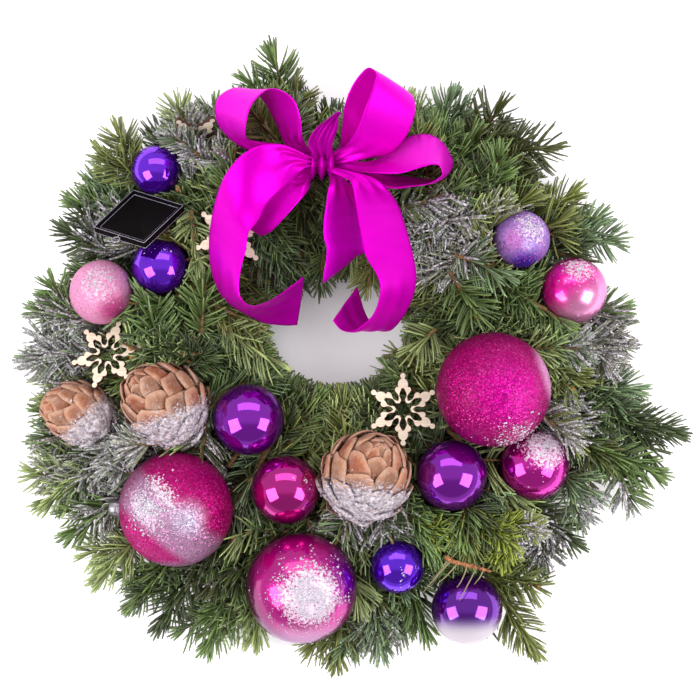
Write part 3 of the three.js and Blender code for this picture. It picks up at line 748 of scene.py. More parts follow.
# name, centre, diameter, material, slot, colouring, the cap's way, snow grains, their patch
BAUBLES = [
    ("violet_bauble_top", (-136, 132, 40), 35, GLOSS, "gloss_violet", plain(VIOLET), None, 0, None),
    ("violet_bauble_left", (-133, 64, 52), 40, GLOSS, "gloss_violet", plain(VIOLET), None,
     12, (0, 0.5, 0.9)),
    ("pink_frosted_bauble_left", (-174, 46, 48), 45, FROSTED, "frosted_pink", left_frosted, None,
     420, (-0.12, 0.35, 0.95)),
    ("purple_bauble_left", (-71, -43, 56), 50, GLOSS, "gloss_purple", plain(PURPLE),
     (0.5, 0.4, -0.77), 0, None),
    ("magenta_bauble_small", (-45, -92, 58), 48, GLOSS, "gloss_magenta", plain(srgb(184, 0, 132)),
     (-0.3, -0.7, -0.65), 25, (0.6, 0.3, 0.5)),
    ("glitter_bauble_banded", (-122, -106, 52), 80, FINE_GLITTER, "glitter_fuchsia", banded,
     (-0.97, 0.02, -0.25), 900, (-0.42, 0.1, 0.72)),
    ("magenta_bauble_snowy", (-34, -161, 54), 78, SATIN_BALL, "satin_magenta", snowy, None,
     1900, (0.18, -0.14, 1.0)),
    ("glitter_bauble_large", (100, -22, 73), 80, FINE_GLITTER, "glitter_fuchsia", large, (0.8, 0.1, -0.6),
     420, (0.42, -0.8, 0.6)),
    ("purple_bauble_right", (71, -82, 58), 50, GLOSS, "gloss_purple", plain(srgb(132, 0, 170)),
     (0.5, -0.6, -0.62), 0, None),
    ("magenta_bauble_right", (129, -75, 43), 50, GLOSS, "gloss_magenta", snow_topped, None,
     560, (0.3, 0.55, 0.95)),
    ("violet_bauble_bottom", (33, -146, 50), 38, GLOSS, "gloss_violet", plain(srgb(96, 4, 225)), None,
     30, (0.3, -0.3, 0.9)),
    ("purple_white_bauble", (82, -176, 42), 50, GLOSS, "gloss_purple", half_white, None, 0, None),
    ("lilac_frosted_bauble", (120, 83, 52), 40, FROSTED, "frosted_lilac", lilac, None,
     420, (0.3, 0.5, 0.95)),
    ("pink_frosted_bauble_right", (157, 47, 50), 46, SATIN_BALL, "frosted_pink", pink_right, None,
     320, (0.15, 0.7, 0.9)),
]
LARGE_BALL = 60  # balls over this diameter are made finer, and the grains on them are larger


def ball_profile(radius, rings):
    """A blown ball from its cap to the little pip opposite."""
    angles = np.linspace(0, math.pi, rings + 1)
    pip = 0.35 * np.exp(-(((math.pi - angles) * radius) / 1.6) ** 2)
    r = radius + pip
    profile = np.stack([r * np.sin(angles), r * np.cos(angles)], 1)
    profile[0, 0] = profile[-1, 0] = 0
    return profile


def add_bauble(name, centre, diameter, material, slot, colouring, cap_way, grains, grain_patch):
    """A ball, its cap with the wire loop, and the grains of snow on it.

    A cap with no way of its own points down into the greenery and away from the ring's centre.
    """
    outward = unit(np.array(centre[:2]) - RING_CENTRE)
    axes = along(unit(cap_way or (0.6 * outward[0], 0.6 * outward[1], -0.8)))
    add_ball(name, centre, diameter, material, slot, colouring, axes)
    add_cap(name, centre, diameter, axes)
    if grains:
        add_ball_snow(name, centre, diameter, slot, grains, grain_patch)


def add_ball(name, centre, diameter, material, slot, colouring, axes):
    sides = 96 if diameter > LARGE_BALL else 64
    points, quads, triangles = lathe(ball_profile(diameter / 2, sides // 2), sides)
    n = unit(points @ axes)
    mesh = build_mesh(name, points @ axes * MM, quads, triangles)
    tint, snow = colouring(n)
    paint(mesh, "tint", tint)
    weigh(mesh, "snow", snow)
    weigh(mesh, "matt", MATT_PARTS[colouring](n) if colouring in MATT_PARTS else np.zeros(len(n)))
    add_piece(name + "_ball", mesh, [material], slot, [name]).location = place(centre)


def add_cap(name, centre, diameter, axes):
    cap_radius, height, loop = 2 + diameter * 0.06, 3 + diameter * 0.06, 1.4 + diameter * 0.02
    rim = math.sqrt(diameter ** 2 / 4 - cap_radius ** 2)
    top = diameter / 2 + height
    # the crimped cup's side: share of the cap's radius, height, how deep it is crimped there
    profile = [
        (0, rim - 0.6, 0), (0.95, rim - 0.6, 0.04), (1.06, rim - 0.2, 0.06), (1.05, rim + 0.5, 0.06),
        (0.94, rim + 1.3, 0.05), (0.90, rim + 1.9, 0.02), (0.94, rim + 2.3, 0.02), (0.90, top - 0.9, 0.01),
        (0.78, top - 0.15, 0), (0.6, top, 0), (0.2, top + 0.1, 0), (0, top + 0.1, 0)]
    cup = lathe([(cap_radius * r, h) for r, h, _ in profile], 48, [crimp for _, _, crimp in profile])
    turns = np.linspace(0, 2 * math.pi, 25)[:-1]
    ring = np.stack([loop * np.cos(turns), top + loop - 0.4 + loop * np.sin(turns), 0 * turns], 1)
    parts = [(points @ axes + centre, *faces) for points, *faces in (cup, tube(ring, 0.5, 8, loop=True))]
    add_body(name + "_cap_metal", parts, SILVER, "cap_silver", [name + "_cap"])


def add_ball_snow(name, centre, diameter, slot, grains, grain_patch):
    x, y, reach = grain_patch
    centre_way = np.array([x, y, math.sqrt(max(0.0, 1 - x * x - y * y))])
    spread = np.abs(rng.normal(0, 0.45, grains)) * reach
    turn = unit(np.cross(rng.normal(size=(grains, 3)), centre_way))
    n = unit(centre_way * np.cos(spread)[:, None] + turn * np.sin(spread)[:, None])
    # the glue took more snow in some spots than in others
    clumps = np.sin(n @ [9, 5, 2] + diameter) * np.sin(n @ [-4, 8, 3] + 2)
    n = n[rng.random(grains) < 0.75 + 0.9 * clumps]
    sizes = (0.28 + 0.85 * rng.random(len(n)) ** 2) * (1.15 if diameter > LARGE_BALL else 0.85)
    spots = np.array(centre) + n * (diameter / 2 + sizes[:, None] * 0.2)
    add_crumbs(name + "_snow", spots, sizes, slot, n)


for bauble in BAUBLES:
    add_bauble(*bauble)

# ---------------------------------------------------------------- pine cones

# name, centre, the tip's way, length, diameter, where the snow lies and how far down it starts, grains
CONES = [
    ("pine_cone_left", (-192, -38, 44), (-0.75, 0.2, 0.62), 56, 43, (0.75, -0.75), 0.10, 1200),
    ("pine_cone_middle", (-131, -31, 56), (-0.55, 0.42, 0.72), 70, 56, (0.35, -0.94), 0.18, 2200),
    ("pine_cone_centre", (12, -81, 72), (0.25, 0.55, 0.8), 70, 60, (-0.12, -0.99), 0.12, 2200),
]
CONE_STEPS = 1200
CORE_DEPTH = 3.2  # how far below the scales the cone's solid body lies
SCALES_REACH = 1.06  # the scales' surface is longer than the cone, because no scale sits at its tip
SCALE_AREA = 0.080  # of one full-grown scale, as a share of the cone's diameter squared
GOLDEN_ANGLE = math.radians(137.508)
# a scale from its middle out and under: each ring's share of the width, and its height
SCALE_RINGS = [(0.0, 1.0), (0.35, 0.97), (0.62, 0.88), (0.80, 0.70), (0.92, 0.40), (0.985, 0.05),
               (1.0, -0.35), (0.97, -0.8), (0.8, -1.05)]
SCALE_SIDES, SCALE_THICKNESS, SCALE_SUNK = 24, 1.9, 1.9
SCALE_WIDE, SCALE_LONG = 0.86, 0.78  # half width and half length, as shares of the scale's own size
SCALE_TAN, SCALE_RED, SCALE_RIM = srgb(170, 136, 112), srgb(180, 112, 80), srgb(214, 178, 156)
GROOVE_SHADE, UMBO = srgb(58, 32, 20), srgb(132, 98, 94)


def cone_profile(length, diameter):
    """Arc length, radius, height and outward slope along a cone's side, from its foot to its tip."""
    t = np.linspace(0, 1, CONE_STEPS)
    r = diameter / 2 * np.sin(math.pi * t ** 0.8) ** 0.62
    r[0] = r[-1] = 0
    y = (t - 0.5) * length
    s = np.concatenate([[0], np.cumsum(np.hypot(np.diff(r), np.diff(y)))])
    return s, r, y, unit(np.stack([np.gradient(r, s), np.gradient(y, s)], 1))


def scale_shape(chance):
    """A thick rounded scale: points as shares of its half width, half length and thickness."""
    angle = np.arange(SCALE_SIDES) * 2 * math.pi / SCALE_SIDES
    corner = chance.uniform(0.35, 0.65)  # how far it tends from round to a lozenge
    c, s = np.cos(angle), np.sin(angle)
    lozenge = 1 / (np.abs(c) + np.abs(s) * 0.94)
    wobble = (0.05 * np.sin(3 * angle + chance.uniform(0, 6))
              + 0.03 * np.sin(5 * angle + chance.uniform(0, 6)))
    reach = (1 - corner) + corner * lozenge + wobble + 0.12 * np.maximum(s, 0) ** 8
    points, share = [], []
    for spread, high in SCALE_RINGS:
        ridges = 0.16 * np.sin(6 * c * spread + chance.uniform(0, 6)) * (high > 0.3)
        crown = high + ridges - 0.2 * spread * np.exp(-(c / 0.25) ** 2) * (s > 0) * (high > 0.3)
        points.append(np.stack([c * reach * spread, s * reach * spread, crown + 0 * angle], 1))
        share.append(np.full(SCALE_SIDES, spread if high > 0 else 1.1))
    return np.concatenate(points), np.concatenate(share)


def scale_faces():
    i = np.arange(SCALE_SIDES)
    j = (i + 1) % SCALE_SIDES
    quads = ring_quads(len(SCALE_RINGS), SCALE_SIDES)[SCALE_SIDES:, [0, 3, 2, 1]]
    top = np.stack([0 * i, SCALE_SIDES + i, SCALE_SIDES + j], 1)
    under = (len(SCALE_RINGS) - 1) * SCALE_SIDES
    bottom = np.stack([np.full(SCALE_SIDES - 2, under), under + i[2:], under + i[1:-1]], 1)
    return quads, np.concatenate([top, bottom])


def cone_surface(length, diameter, hand, chance):
    """A closed cone about the Y axis: a body painted dark as shade, under thick scales that wind up to its
    tip.

    Gives its points, faces and each point's colour.
    """
    s, r, y, slope = cone_profile(length * SCALES_REACH, diameter)
    core = np.linspace(0, CONE_STEPS - 1, 60).astype(int)
    inner = np.maximum(r[core] - CORE_DEPTH, 0)
    inner[0] = inner[-1] = 0
    shrunk = y[core] * (1 - 2 * CORE_DEPTH / length)
    points, quads, triangles = lathe(list(zip(inner, shrunk)), 48)
    parts, tints = [(points, quads, triangles)], [np.broadcast_to(GROOVE_SHADE * 0.6, points.shape)]

    # a scale's size grows from the tip, and each takes an equal share of the surface that is left
    from_tip = s[-1] - s
    grown = np.clip(0.24 + 0.76 * from_tip / (0.42 * diameter), 0.24, 1.0)
    pace = 2 * math.pi * r / (SCALE_AREA * diameter ** 2 * grown ** 2)
    count_at = np.concatenate([[0], np.cumsum((pace[1:] + pace[:-1]) / 2 * np.diff(s))])
    total = int(count_at[-1])
    quads, triangles = scale_faces()
    axis = np.array([0, 1.0, 0])
    for k in range(total):
        at = np.interp(count_at[-1] - k - 0.5, count_at, s)
        turn = k * GOLDEN_ANGLE * hand
        size = math.sqrt(SCALE_AREA) * diameter * float(np.interp(at, s, grown))
        radius, height = float(np.interp(at, s, r)), float(np.interp(at, s, y))
        toward = unit([np.interp(at, s, slope[:, 0]), np.interp(at, s, slope[:, 1])])
        around = np.array([math.cos(turn), 0, math.sin(turn)])
        forward = toward[0] * around + toward[1] * axis
        outward = toward[1] * around - toward[0] * axis
        sideways = np.cross(forward, outward)
        shape, share = scale_shape(chance)
        half_wide = size * SCALE_WIDE * chance.uniform(0.92, 1.1)
        half_long = size * SCALE_LONG * chance.uniform(0.92, 1.1)
        thick = SCALE_THICKNESS * (0.55 + 0.45 * size / (math.sqrt(SCALE_AREA) * diameter))
        a, b = shape[:, 1] * half_long, shape[:, 0] * half_wide
        tilt = math.radians(chance.uniform(13, 20))
        lean = math.radians(chance.uniform(-9, 9))
        a, b = a * math.cos(lean) - b * math.sin(lean), a * math.sin(lean) + b * math.cos(lean)
        lift = shape[:, 2] * thick + a * math.tan(tilt) - SCALE_SUNK
        # it follows the cone round and over, and its free edge curls a little inward
        bend = b ** 2 / (2 * max(radius, size * 0.8)) + a ** 2 / (2.0 * diameter)
        centre = radius * around + height * axis
        world = centre + a[:, None] * forward + b[:, None] * sideways + (lift - bend)[:, None] * outward
        parts.append((world, quads, triangles))

        own = SCALE_TAN + (SCALE_RED - SCALE_TAN) * chance.uniform(0, 0.8)
        colour = np.broadcast_to(own * (1 + 0.2 * chance.uniform(-1, 1)), shape.shape)
        ahead = shape[:, 1]
        umbo = np.exp(-((ahead - 0.25) / 0.3) ** 2 - (shape[:, 0] / 0.45) ** 2)
        colour = blend(colour, UMBO, 0.5 * umbo * chance.uniform(0.4, 1.0))
        front_rim = smoothstep(share, 0.6, 0.95) * smoothstep(ahead, -0.2, 0.4)
        colour = blend(colour, SCALE_RIM, 0.75 * front_rim)
        # painted shade: each scale's underside and its foot, where it tucks under the others, are darkened
        colour = blend(colour, GROOVE_SHADE, smoothstep(share, 1.0, 1.1) * 0.9)
        colour = blend(colour, GROOVE_SHADE, 0.75 * (1 - smoothstep(ahead, -0.95, -0.35)))
        tints.append(colour)
    points, quads, triangles = joined(parts)
    return points, quads, triangles, np.concatenate(tints)


def add_cone(name, centre, way, length, diameter, snow_way, snow_from, grains):
    axes = along(way)
    chance = np.random.default_rng(length + 7 * diameter)
    hand = -1 if name == "pine_cone_middle" else 1  # which way its scales wind
    points, quads, triangles, tint = cone_surface(length, diameter, hand, chance)
    offset = points @ axes
    side = offset[:, :2] @ unit(snow_way) / (diameter / 2)
    snow = smoothstep(side, snow_from - 0.25, snow_from + 0.45) * smoothstep(offset[:, 2], -12, 4)
    mesh = build_mesh(name, place(offset + centre), quads, triangles)
    paint(mesh, "tint", tint)
    weigh(mesh, "snow", snow * 0.72)
    add_piece(name + "_scales", mesh, [CONE], "cone_scales", [name])

    # the grains lie on the outer faces of the scales
    outer = np.linalg.norm(points * [1, 0, 1], axis=1) > 0.2 * diameter
    chance_there = (snow ** 1.5 + 0.02 * (side > snow_from - 0.5)) * (offset[:, 2] > -6) * outer
    picked = rng.choice(len(offset), grains, p=chance_there / chance_there.sum())
    spots = (offset + centre)[picked] + rng.normal(0, 0.8, (grains, 3))
    outward = unit(offset[picked] + rng.normal(0, 6, (grains, 3)))
    add_crumbs(name + "_snow", spots, 0.3 + 1.3 * rng.random(grains) ** 3, "cone_scales", outward)


for cone in CONES:
    add_cone(*cone)

# ---------------------------------------------------------------- snowflakes

SNOWFLAKE_RADIUS, SNOWFLAKE_THICKNESS, SCORCH = 26.0, 3.0, 0.45
LEVEL = 0.97  # a face whose normal rises less than this is part of the burnt edge
# half of one arm from the valley beside it to its tip, as shares of the radius
ARM_EDGE = [
    (0.127, 0.30), (0.13, 0.36), (0.17, 0.42), (0.215, 0.465), (0.236, 0.53), (0.215, 0.59),
    (0.17, 0.617), (0.142, 0.622), (0.152, 0.66), (0.152, 0.70), (0.135, 0.76), (0.10, 0.81),
    (0.06, 0.838), (0.083, 0.875), (0.09, 0.92), (0.072, 0.965), (0.036, 0.992), (0.0, 1.0)]
ARM_SLOT = [
    (0.0, 0.56), (0.03, 0.545), (0.045, 0.50), (0.08, 0.43), (0.082, 0.37), (0.06, 0.32),
    (0.037, 0.27), (0.035, 0.235), (0.055, 0.20)]
VALLEY, HUB = 0.285, 0.175  # outer and inner radius of the wood between two arms
# name, centre, normal, turn in degrees
SNOWFLAKES = [
    ("snowflake_centre", (37, -36, 56), (0.05, 0.1, 1), 30),
    ("snowflake_left", (-170, 2, 53), (-0.25, 0.35, 0.9), 12),
    ("snowflake_top", (-109, 153, 38), (0.1, -0.75, 0.66), 0),
    ("snowflake_under_bow", (-84, 85, 60), (0.05, 0.05, 1), 20),
]


def star(half_arm, between):
    """The closed outline of six arms, each half_arm mirrored, joined at radius between."""
    points = []
    for arm in range(6):
        axis = math.radians(60 * arm)
        right = [(y, -x) for x, y in half_arm]
        left = [(y, x) for x, y in reversed(half_arm)]
        if right[-1][1] == 0:  # the two halves share the tip
            left = left[1:]
        joint = between * math.cos(math.radians(-30)), between * math.sin(math.radians(-30))
        c, s = math.cos(axis), math.sin(axis)
        points += [(x * c - y * s, x * s + y * c) for x, y in [joint, *right, *left]]
    return np.array(points) * SNOWFLAKE_RADIUS


def add_snowflake(name, centre, normal, turn):
    outline = star(ARM_EDGE, VALLEY)
    slot = star(list(reversed(ARM_SLOT)), HUB)
    curve = bpy.data.curves.new(name, "CURVE")
    curve.dimensions, curve.fill_mode = "2D", "BOTH"
    curve.extrude, curve.bevel_depth = SNOWFLAKE_THICKNESS / 2 - SCORCH, SCORCH
    curve.offset = -SCORCH
    curve.bevel_resolution = 1
    for ring in (outline, slot):
        spline = curve.splines.new("POLY")
        spline.points.add(len(ring) - 1)
        spline.points.foreach_set("co", np.c_[ring, np.zeros(len(ring)), np.ones(len(ring))].ravel())
        spline.use_cyclic_u = True
    plate = bpy.data.objects.new(name + "_plan", curve)
    bpy.context.scene.collection.objects.link(plate)
    bpy.context.view_layer.update()
    mesh = bpy.data.meshes.new_from_object(plate.evaluated_get(bpy.context.evaluated_depsgraph_get()))
    bpy.data.objects.remove(plate)
    mesh.materials.clear()
    points = np.empty(len(mesh.vertices) * 3)
    mesh.vertices.foreach_get("co", points)
    normals = np.empty(len(mesh.polygons) * 3)
    mesh.polygons.foreach_get("normal", normals)
    edge = np.abs(normals.reshape(-1, 3)[:, 2]) < LEVEL
    mesh.vertices.foreach_set("co", place(points.reshape(-1, 3) @ facing(normal, turn) + centre).ravel())
    add_piece(name + "_plate", mesh, [BIRCH, BURNT], "birch_plywood", [name])
    mesh.polygons.foreach_set("material_index", edge.astype(np.int32))
    mesh.update()


for snowflake in SNOWFLAKES:
    add_snowflake(*snowflake)

# ---------------------------------------------------------------- black tag and its eyelet

TAG_CENTRE, TAG_SIDE, TAG_THICKNESS, TAG_RIM, TAG_RECESS = (-147, 97, 62), 46.0, 5.0, 2.2, 1.2
EYELET_RADIUS, EYELET_WIRE, EYELET_GAP = 2.8, 0.6, 0.35
level = unit([0.972, 0.236, 0])
tag_normal = unit([-0.187, 0.771, 0.609])
rising = np.cross(tag_normal, level)
TAG_AXES = np.array([unit(level - rising), unit(level + rising), tag_normal])


def stacked_squares(levels):
    """A closed body of squares with rounded corners: (half side, corner radius, height)."""
    points, steps = [], 4
    for half, corner, height in levels:
        for quarter in range(4):
            cx = (half - corner) * (1 if quarter in (0, 3) else -1)
            cy = (half - corner) * (1 if quarter in (0, 1) else -1)
            for step in range(steps + 1):
                angle = math.radians(90 * (quarter + step / steps))
                points.append((cx + corner * math.cos(angle), cy + corner * math.sin(angle), height))
    points += [(0, 0, levels[0][2]), (0, 0, levels[-1][2])]
    sides = 4 * (steps + 1)
    return np.array(points), ring_quads(len(levels), sides), end_fans(len(levels), sides)


def on_tag(path):
    """Points given along the tag's own sides and its normal."""
    return path @ TAG_AXES + TAG_CENTRE


def add_tag():
    half, top = TAG_SIDE / 2, TAG_THICKNESS / 2
    inner, floor_level = half - TAG_RIM, top - TAG_RECESS
    levels = [
        (half - 0.5, 0.8, -top), (half - 0.1, 0.9, -top + 0.12), (half, 1.0, -top + 0.5),
        (half, 1.0, top - 0.5), (half - 0.1, 0.9, top - 0.12), (half - 0.5, 0.8, top),
        (inner + 0.3, 0.6, top), (inner + 0.05, 0.5, top - 0.1), (inner, 0.5, top - 0.35),
        (inner, 0.5, floor_level + 0.2), (inner - 0.2, 0.4, floor_level)]
    points, *faces = stacked_squares(levels)
    add_body("black_tag_plate", [(on_tag(points), *faces)], LACQUER, "black_lacquer", ["black_tag"],
             smooth=False)

    # painted highlights: pale metal lines along the edges, where the lacquer would catch the light
    lines = []  # the pale edges of the face, the dish and the foot: half side and height
    for reach, height in ((half - 0.35, top), (inner - 0.9, floor_level), (half - 0.1, -top + 0.5)):
        corners = np.array([(reach, reach), (-reach, reach), (-reach, -reach), (reach, -reach)])
        path = []
        for a, b in zip(corners, np.roll(corners, -1, 0)):
            path += [a + (b - a) * share for share in (0.01, 0.25, 0.5, 0.75, 0.99)]
        path = np.c_[path, np.full(len(path), height)]
        lines.append(tube(on_tag(path), 0.2, 5, loop=True))
    add_body("tag_edge_highlight_lines", lines, EDGE_HIGHLIGHT, "black_lacquer")

    turns = np.linspace(0, 2 * math.pi, 33)[:-1]
    centre_y = -half - EYELET_RADIUS - EYELET_WIRE - EYELET_GAP
    ring = np.stack([EYELET_RADIUS * np.cos(turns), centre_y + EYELET_RADIUS * np.sin(turns),
                     np.full(len(turns), TAG_THICKNESS / 4)], 1)
    tail = np.array([(0, -half + 1.2, top + 0.1), (0.2, -half - 0.6, top),
                     (0, centre_y + EYELET_RADIUS, 1.4)])
    parts = [tube(on_tag(ring), EYELET_WIRE, 8, loop=True), tube(on_tag(tail), 0.4, 6)]
    add_body("tag_eyelet_ring", parts, SILVER, "cap_silver", ["tag_eyelet"])


add_tag()

# ---------------------------------------------------------------- ribbon bow

# stations of a strip: a point on one edge, then one on the other edge
RIBBONS = {
    "bow_left_loop": [
        [-22, 143, 82, -24, 139, 76], [-29, 146, 86, -33, 143, 74], [-33, 153, 96, -45, 150, 71],
        [-34, 164, 106, -51, 162, 71], [-38, 177, 110, -57, 174, 73], [-46, 184, 111, -64, 183, 74],
        [-55, 186, 110, -75, 188, 73], [-63, 181, 109, -84, 187, 74], [-69, 173, 107, -92, 181, 72],
        [-72, 162, 104, -94, 172, 70], [-72, 153, 97, -90, 160, 67], [-66, 149, 90, -77, 148, 64],
        [-52, 147, 84, -58, 141, 64], [-37, 141, 76, -39, 138, 66], [-24, 139, 72, -24, 137, 66]],
    "bow_left_tail": [
        [-24, 138, 87, -24, 133, 85], [-31, 141, 93, -30, 132, 90], [-47, 148, 102, -35, 127, 92],
        [-61, 147, 110, -47, 117, 90], [-74, 141, 108, -57, 107, 94], [-85, 129, 100, -63, 96, 100],
        [-92, 114, 88, -70, 87, 106], [-96, 98, 81, -72, 75, 105], [-98, 82, 76, -75, 64, 103],
        [-97, 64, 71, -77, 52, 101], [-92, 48, 66, -76, 42, 99], [-84, 38, 62, -69, 36, 96],
        [-73, 31, 58, -59, 38, 92], [-61, 25, 55, -50, 43, 86], [-47, 23, 53, -41, 50, 80],
        [-37, 23, 53, -32, 57, 74]],
    "bow_left_under_loop": [
        [-22, 131, 76, -24, 136, 75], [-27, 125, 77, -34, 133, 75], [-28, 119, 79, -41, 131, 76],
        [-32, 113, 81, -55, 134, 76], [-38, 106, 82, -65, 129, 77], [-46, 97, 81, -73, 120, 76],
        [-55, 88, 77, -80, 111, 73], [-62, 85, 71, -87, 107, 69], [-65, 87, 66, -90, 109, 65],
        [-62, 94, 63, -85, 118, 63], [-52, 105, 63, -74, 127, 62], [-42, 115, 64, -60, 132, 62],
        [-32, 124, 65, -37, 130, 64], [-24, 130, 66, -25, 134, 65]],
    "bow_right_loop": [
        [-15, 140, 70, -13, 136, 66], [-8, 145, 74, -2, 140, 67], [-6, 152, 84, 11, 140, 66],
        [-5, 164, 93, 18, 150, 70], [-3, 177, 98, 22, 162, 73], [2, 189, 104, 27, 174, 79],
        [9, 198, 112, 34, 181, 87], [14, 200, 120, 40, 184, 94], [18, 195, 125, 44, 180, 99],
        [16, 186, 127, 45, 171, 101], [11, 173, 124, 42, 160, 98], [7, 162, 117, 36, 150, 92],
        [1, 152, 106, 25, 141, 84], [-8, 144, 91, 0, 136, 79], [-15, 140, 82, -14, 136, 77]],
    "bow_right_small_loop": [
        [-14, 135, 78, -13, 138, 72], [-5, 133, 83, -1, 137, 71], [6, 130, 90, 15, 136, 66],
        [21, 128, 98, 31, 148, 65], [35, 128, 101, 43, 155, 66], [49, 132, 102, 55, 156, 67],
        [57, 134, 101, 64, 151, 64], [62, 133, 100, 69, 144, 63], [64, 128, 98, 72, 136, 60],
        [62, 125, 95, 69, 129, 58], [55, 121, 91, 61, 125, 57], [42, 119, 85, 44, 126, 56],
        [28, 118, 79, 29, 127, 57], [8, 124, 70, 10, 130, 58], [-5, 131, 67, -3, 134, 60],
        [-14, 134, 67, -14, 136, 62]],
    "bow_short_end": [
        [-22, 138, 86, -15, 137, 86], [-26, 142, 93, -13, 141, 92], [-29, 149, 98, -12, 148, 97],
        [-27, 155, 102, -10, 154, 101], [-22, 161, 106, -8, 160, 104], [-15, 166, 109, -8, 165, 107],
        [-9, 170, 112, -6, 169, 111]],
    "bow_centre_tail": [
        [-15, 131, 76, -11, 131, 73], [-13, 125, 80, -5, 125, 74], [-14, 118, 86, 1, 118, 70],
        [-16, 108, 88, 7, 108, 65], [-18, 95, 87, 9, 95, 63], [-18, 84, 84, 11, 83, 60],
        [-16, 74, 80, 12, 74, 57], [-19, 52, 70, 9, 75, 54]],
    "bow_right_tail": [
        [-16, 131, 86, -13, 132, 82], [-5, 126, 94, 5, 127, 89], [1, 122, 101, 20, 122, 85],
        [4, 108, 106, 32, 109, 78], [7, 90, 107, 39, 90, 78], [11, 71, 106, 44, 71, 78],
        [18, 59, 105, 46, 58, 77], [21, 50, 103, 45, 47, 74], [20, 40, 98, 41, 36, 69],
        [16, 30, 91, 35, 26, 62], [8, 22, 82, 27, 19, 53], [0, 18, 75, 18, 22, 47],
        [-7, 20, 71, 11, 31, 45], [-12, 26, 70, 5, 50, 46]],
}
KNOT_CENTRE, KNOT_HALF = np.array([-19.0, 136.0, 70.0]), np.array([8.0, 9.0, 19.0])
STEPS_BETWEEN, STEPS_ACROSS = 7, 20
PLEATS, DEEPEST_PLEAT, CAMBER = 2.5, 3.0, 0.7  # waves across the width, mm, mm


def smooth_line(points, steps):
    """A Catmull-Rom line through points."""
    p = np.concatenate([2 * points[:1] - points[1:2], points, 2 * points[-1:] - points[-2:-1]])
    t = np.arange(steps)[:, None] / steps
    line = [
        0.5 * (2 * p[i] + (p[i + 1] - p[i - 1]) * t
               + (2 * p[i - 1] - 5 * p[i] + 4 * p[i + 1] - p[i + 2]) * t ** 2
               + (3 * p[i] - p[i - 1] - 3 * p[i + 1] + p[i + 2]) * t ** 3)
        for i in range(1, len(p) - 2)]
    return np.concatenate([*line, points[-1:]])


def strip(stations, phase, depth):
    """A ribbon's middle sheet through its stations, pleated where they pinch it.

    Gives its points, its normals, the length run along it, the share across it, and how deep each
    point lies in a crease.
    """
    stations = np.asarray(stations, float)
    left = smooth_line(stations[:, :3], STEPS_BETWEEN)
    right = smooth_line(stations[:, 3:], STEPS_BETWEEN)
    middle = (left + right) / 2
    width = np.linalg.norm(right - left, axis=1)
    travel = unit(np.gradient(middle, axis=0))
    normal = unit(np.cross(travel, unit(right - left)))
    v = np.linspace(0, 1, STEPS_ACROSS + 1)
    points = left[:, None] * (1 - v)[None, :, None] + right[:, None] * v[None, :, None]
    slack = np.clip(RIBBON_WIDTH / np.maximum(width, 1), 1, 6) - 1
    pinched = 0.25 + 0.75 * smoothstep(slack, 0.12, 0.5)
    pleat = np.minimum(width / (math.pi * PLEATS) * np.sqrt(slack), DEEPEST_PLEAT) * pinched * depth
    wave = np.sin(2 * math.pi * (PLEATS * v[None] + phase))
    camber = CAMBER * (1 - (2 * v - 1) ** 2)[None]
    points = points + normal[:, None] * (wave * pleat[:, None] + camber)[..., None]
    run = np.concatenate([[0], np.cumsum(np.linalg.norm(np.diff(middle, axis=0), axis=1))])
    crease = (pleat / DEEPEST_PLEAT)[:, None] * (0.5 - 0.5 * wave)
    return points, normal, run, v, np.clip(crease, 0, 1)


# how bright the satin is along a strip, as painted light and shade: share of the way, brightness
SATIN_PAINTED_LIGHT = {
    "bow_left_tail": ([0, 0.7, 0.84, 1], [1, 1, 0.6, 0.55]),
    "bow_centre_tail": ([0, 0.3, 1], [1.1, 1.5, 1.6]),
    "bow_right_loop": ([0, 0.4, 0.5, 1], [1.3, 1.25, 1, 1]),
    "bow_short_end": ([0, 1], [0.7, 0.6]),
    "bow_knot": ([0, 1], [0.75, 0.75]),
}
PLEAT_DEPTHS = {"bow_centre_tail": 0.45, "bow_short_end": 0.65, "bow_right_tail": 0.65, "bow_knot": 1.0}
USUAL_PLEAT_DEPTH = 0.8
SATIN_LIT, SATIN_CREASE_SHADE = srgb(226, 0, 200), srgb(140, 0, 92)


def add_strip(name, stations, phase, held, rests_on, replaces):
    points, normal, run, v, crease = strip(stations, phase, PLEAT_DEPTHS.get(name, USUAL_PLEAT_DEPTH))
    painted_light = np.interp(run / run[-1], *SATIN_PAINTED_LIGHT.get(name, ([0, 1], [1, 1])))
    # painted shade in the pleats' creases
    tint = blend(SATIN_LIT, SATIN_CREASE_SHADE, crease.ravel() * 0.5)
    tint = np.clip(tint * np.repeat(painted_light, len(v))[:, None], 0, 1)
    rows, columns = points.shape[:2]
    half = normal[:, None] * (RIBBON_THICKNESS / 2)
    both = np.concatenate([(points + half).reshape(-1, 3), (points - half).reshape(-1, 3)])
    grid = np.arange(rows * columns).reshape(rows, columns)
    upper = np.stack([grid[:-1, :-1], grid[1:, :-1], grid[1:, 1:], grid[:-1, 1:]], -1).reshape(-1, 4)
    lower = upper[:, ::-1] + rows * columns
    border = np.concatenate([grid[0, :-1], grid[:-1, -1], grid[-1, :0:-1], grid[:0:-1, 0]])
    after = np.roll(border, -1)
    rim = np.stack([border, after, after + rows * columns, border + rows * columns], 1)
    quads = np.concatenate([upper, lower, rim])
    mesh = build_mesh(name + "_satin", place(both), quads)
    layer = mesh.uv_layers.new(name="ribbon")
    cloth = np.stack(np.broadcast_arrays(run[:, None] * MM, v[None] * RIBBON_WIDTH * MM), -1)
    cloth = np.tile(cloth.reshape(-1, 2), (2, 1))
    layer.uv.foreach_set("vector", cloth[quads.ravel()].astype(np.float32).ravel())
    paint(mesh, "tint", np.tile(tint, (2, 1)))
    piece = add_piece(name + "_satin", mesh, [SATIN], "ribbon_satin", replaces)
    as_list(rests_on)


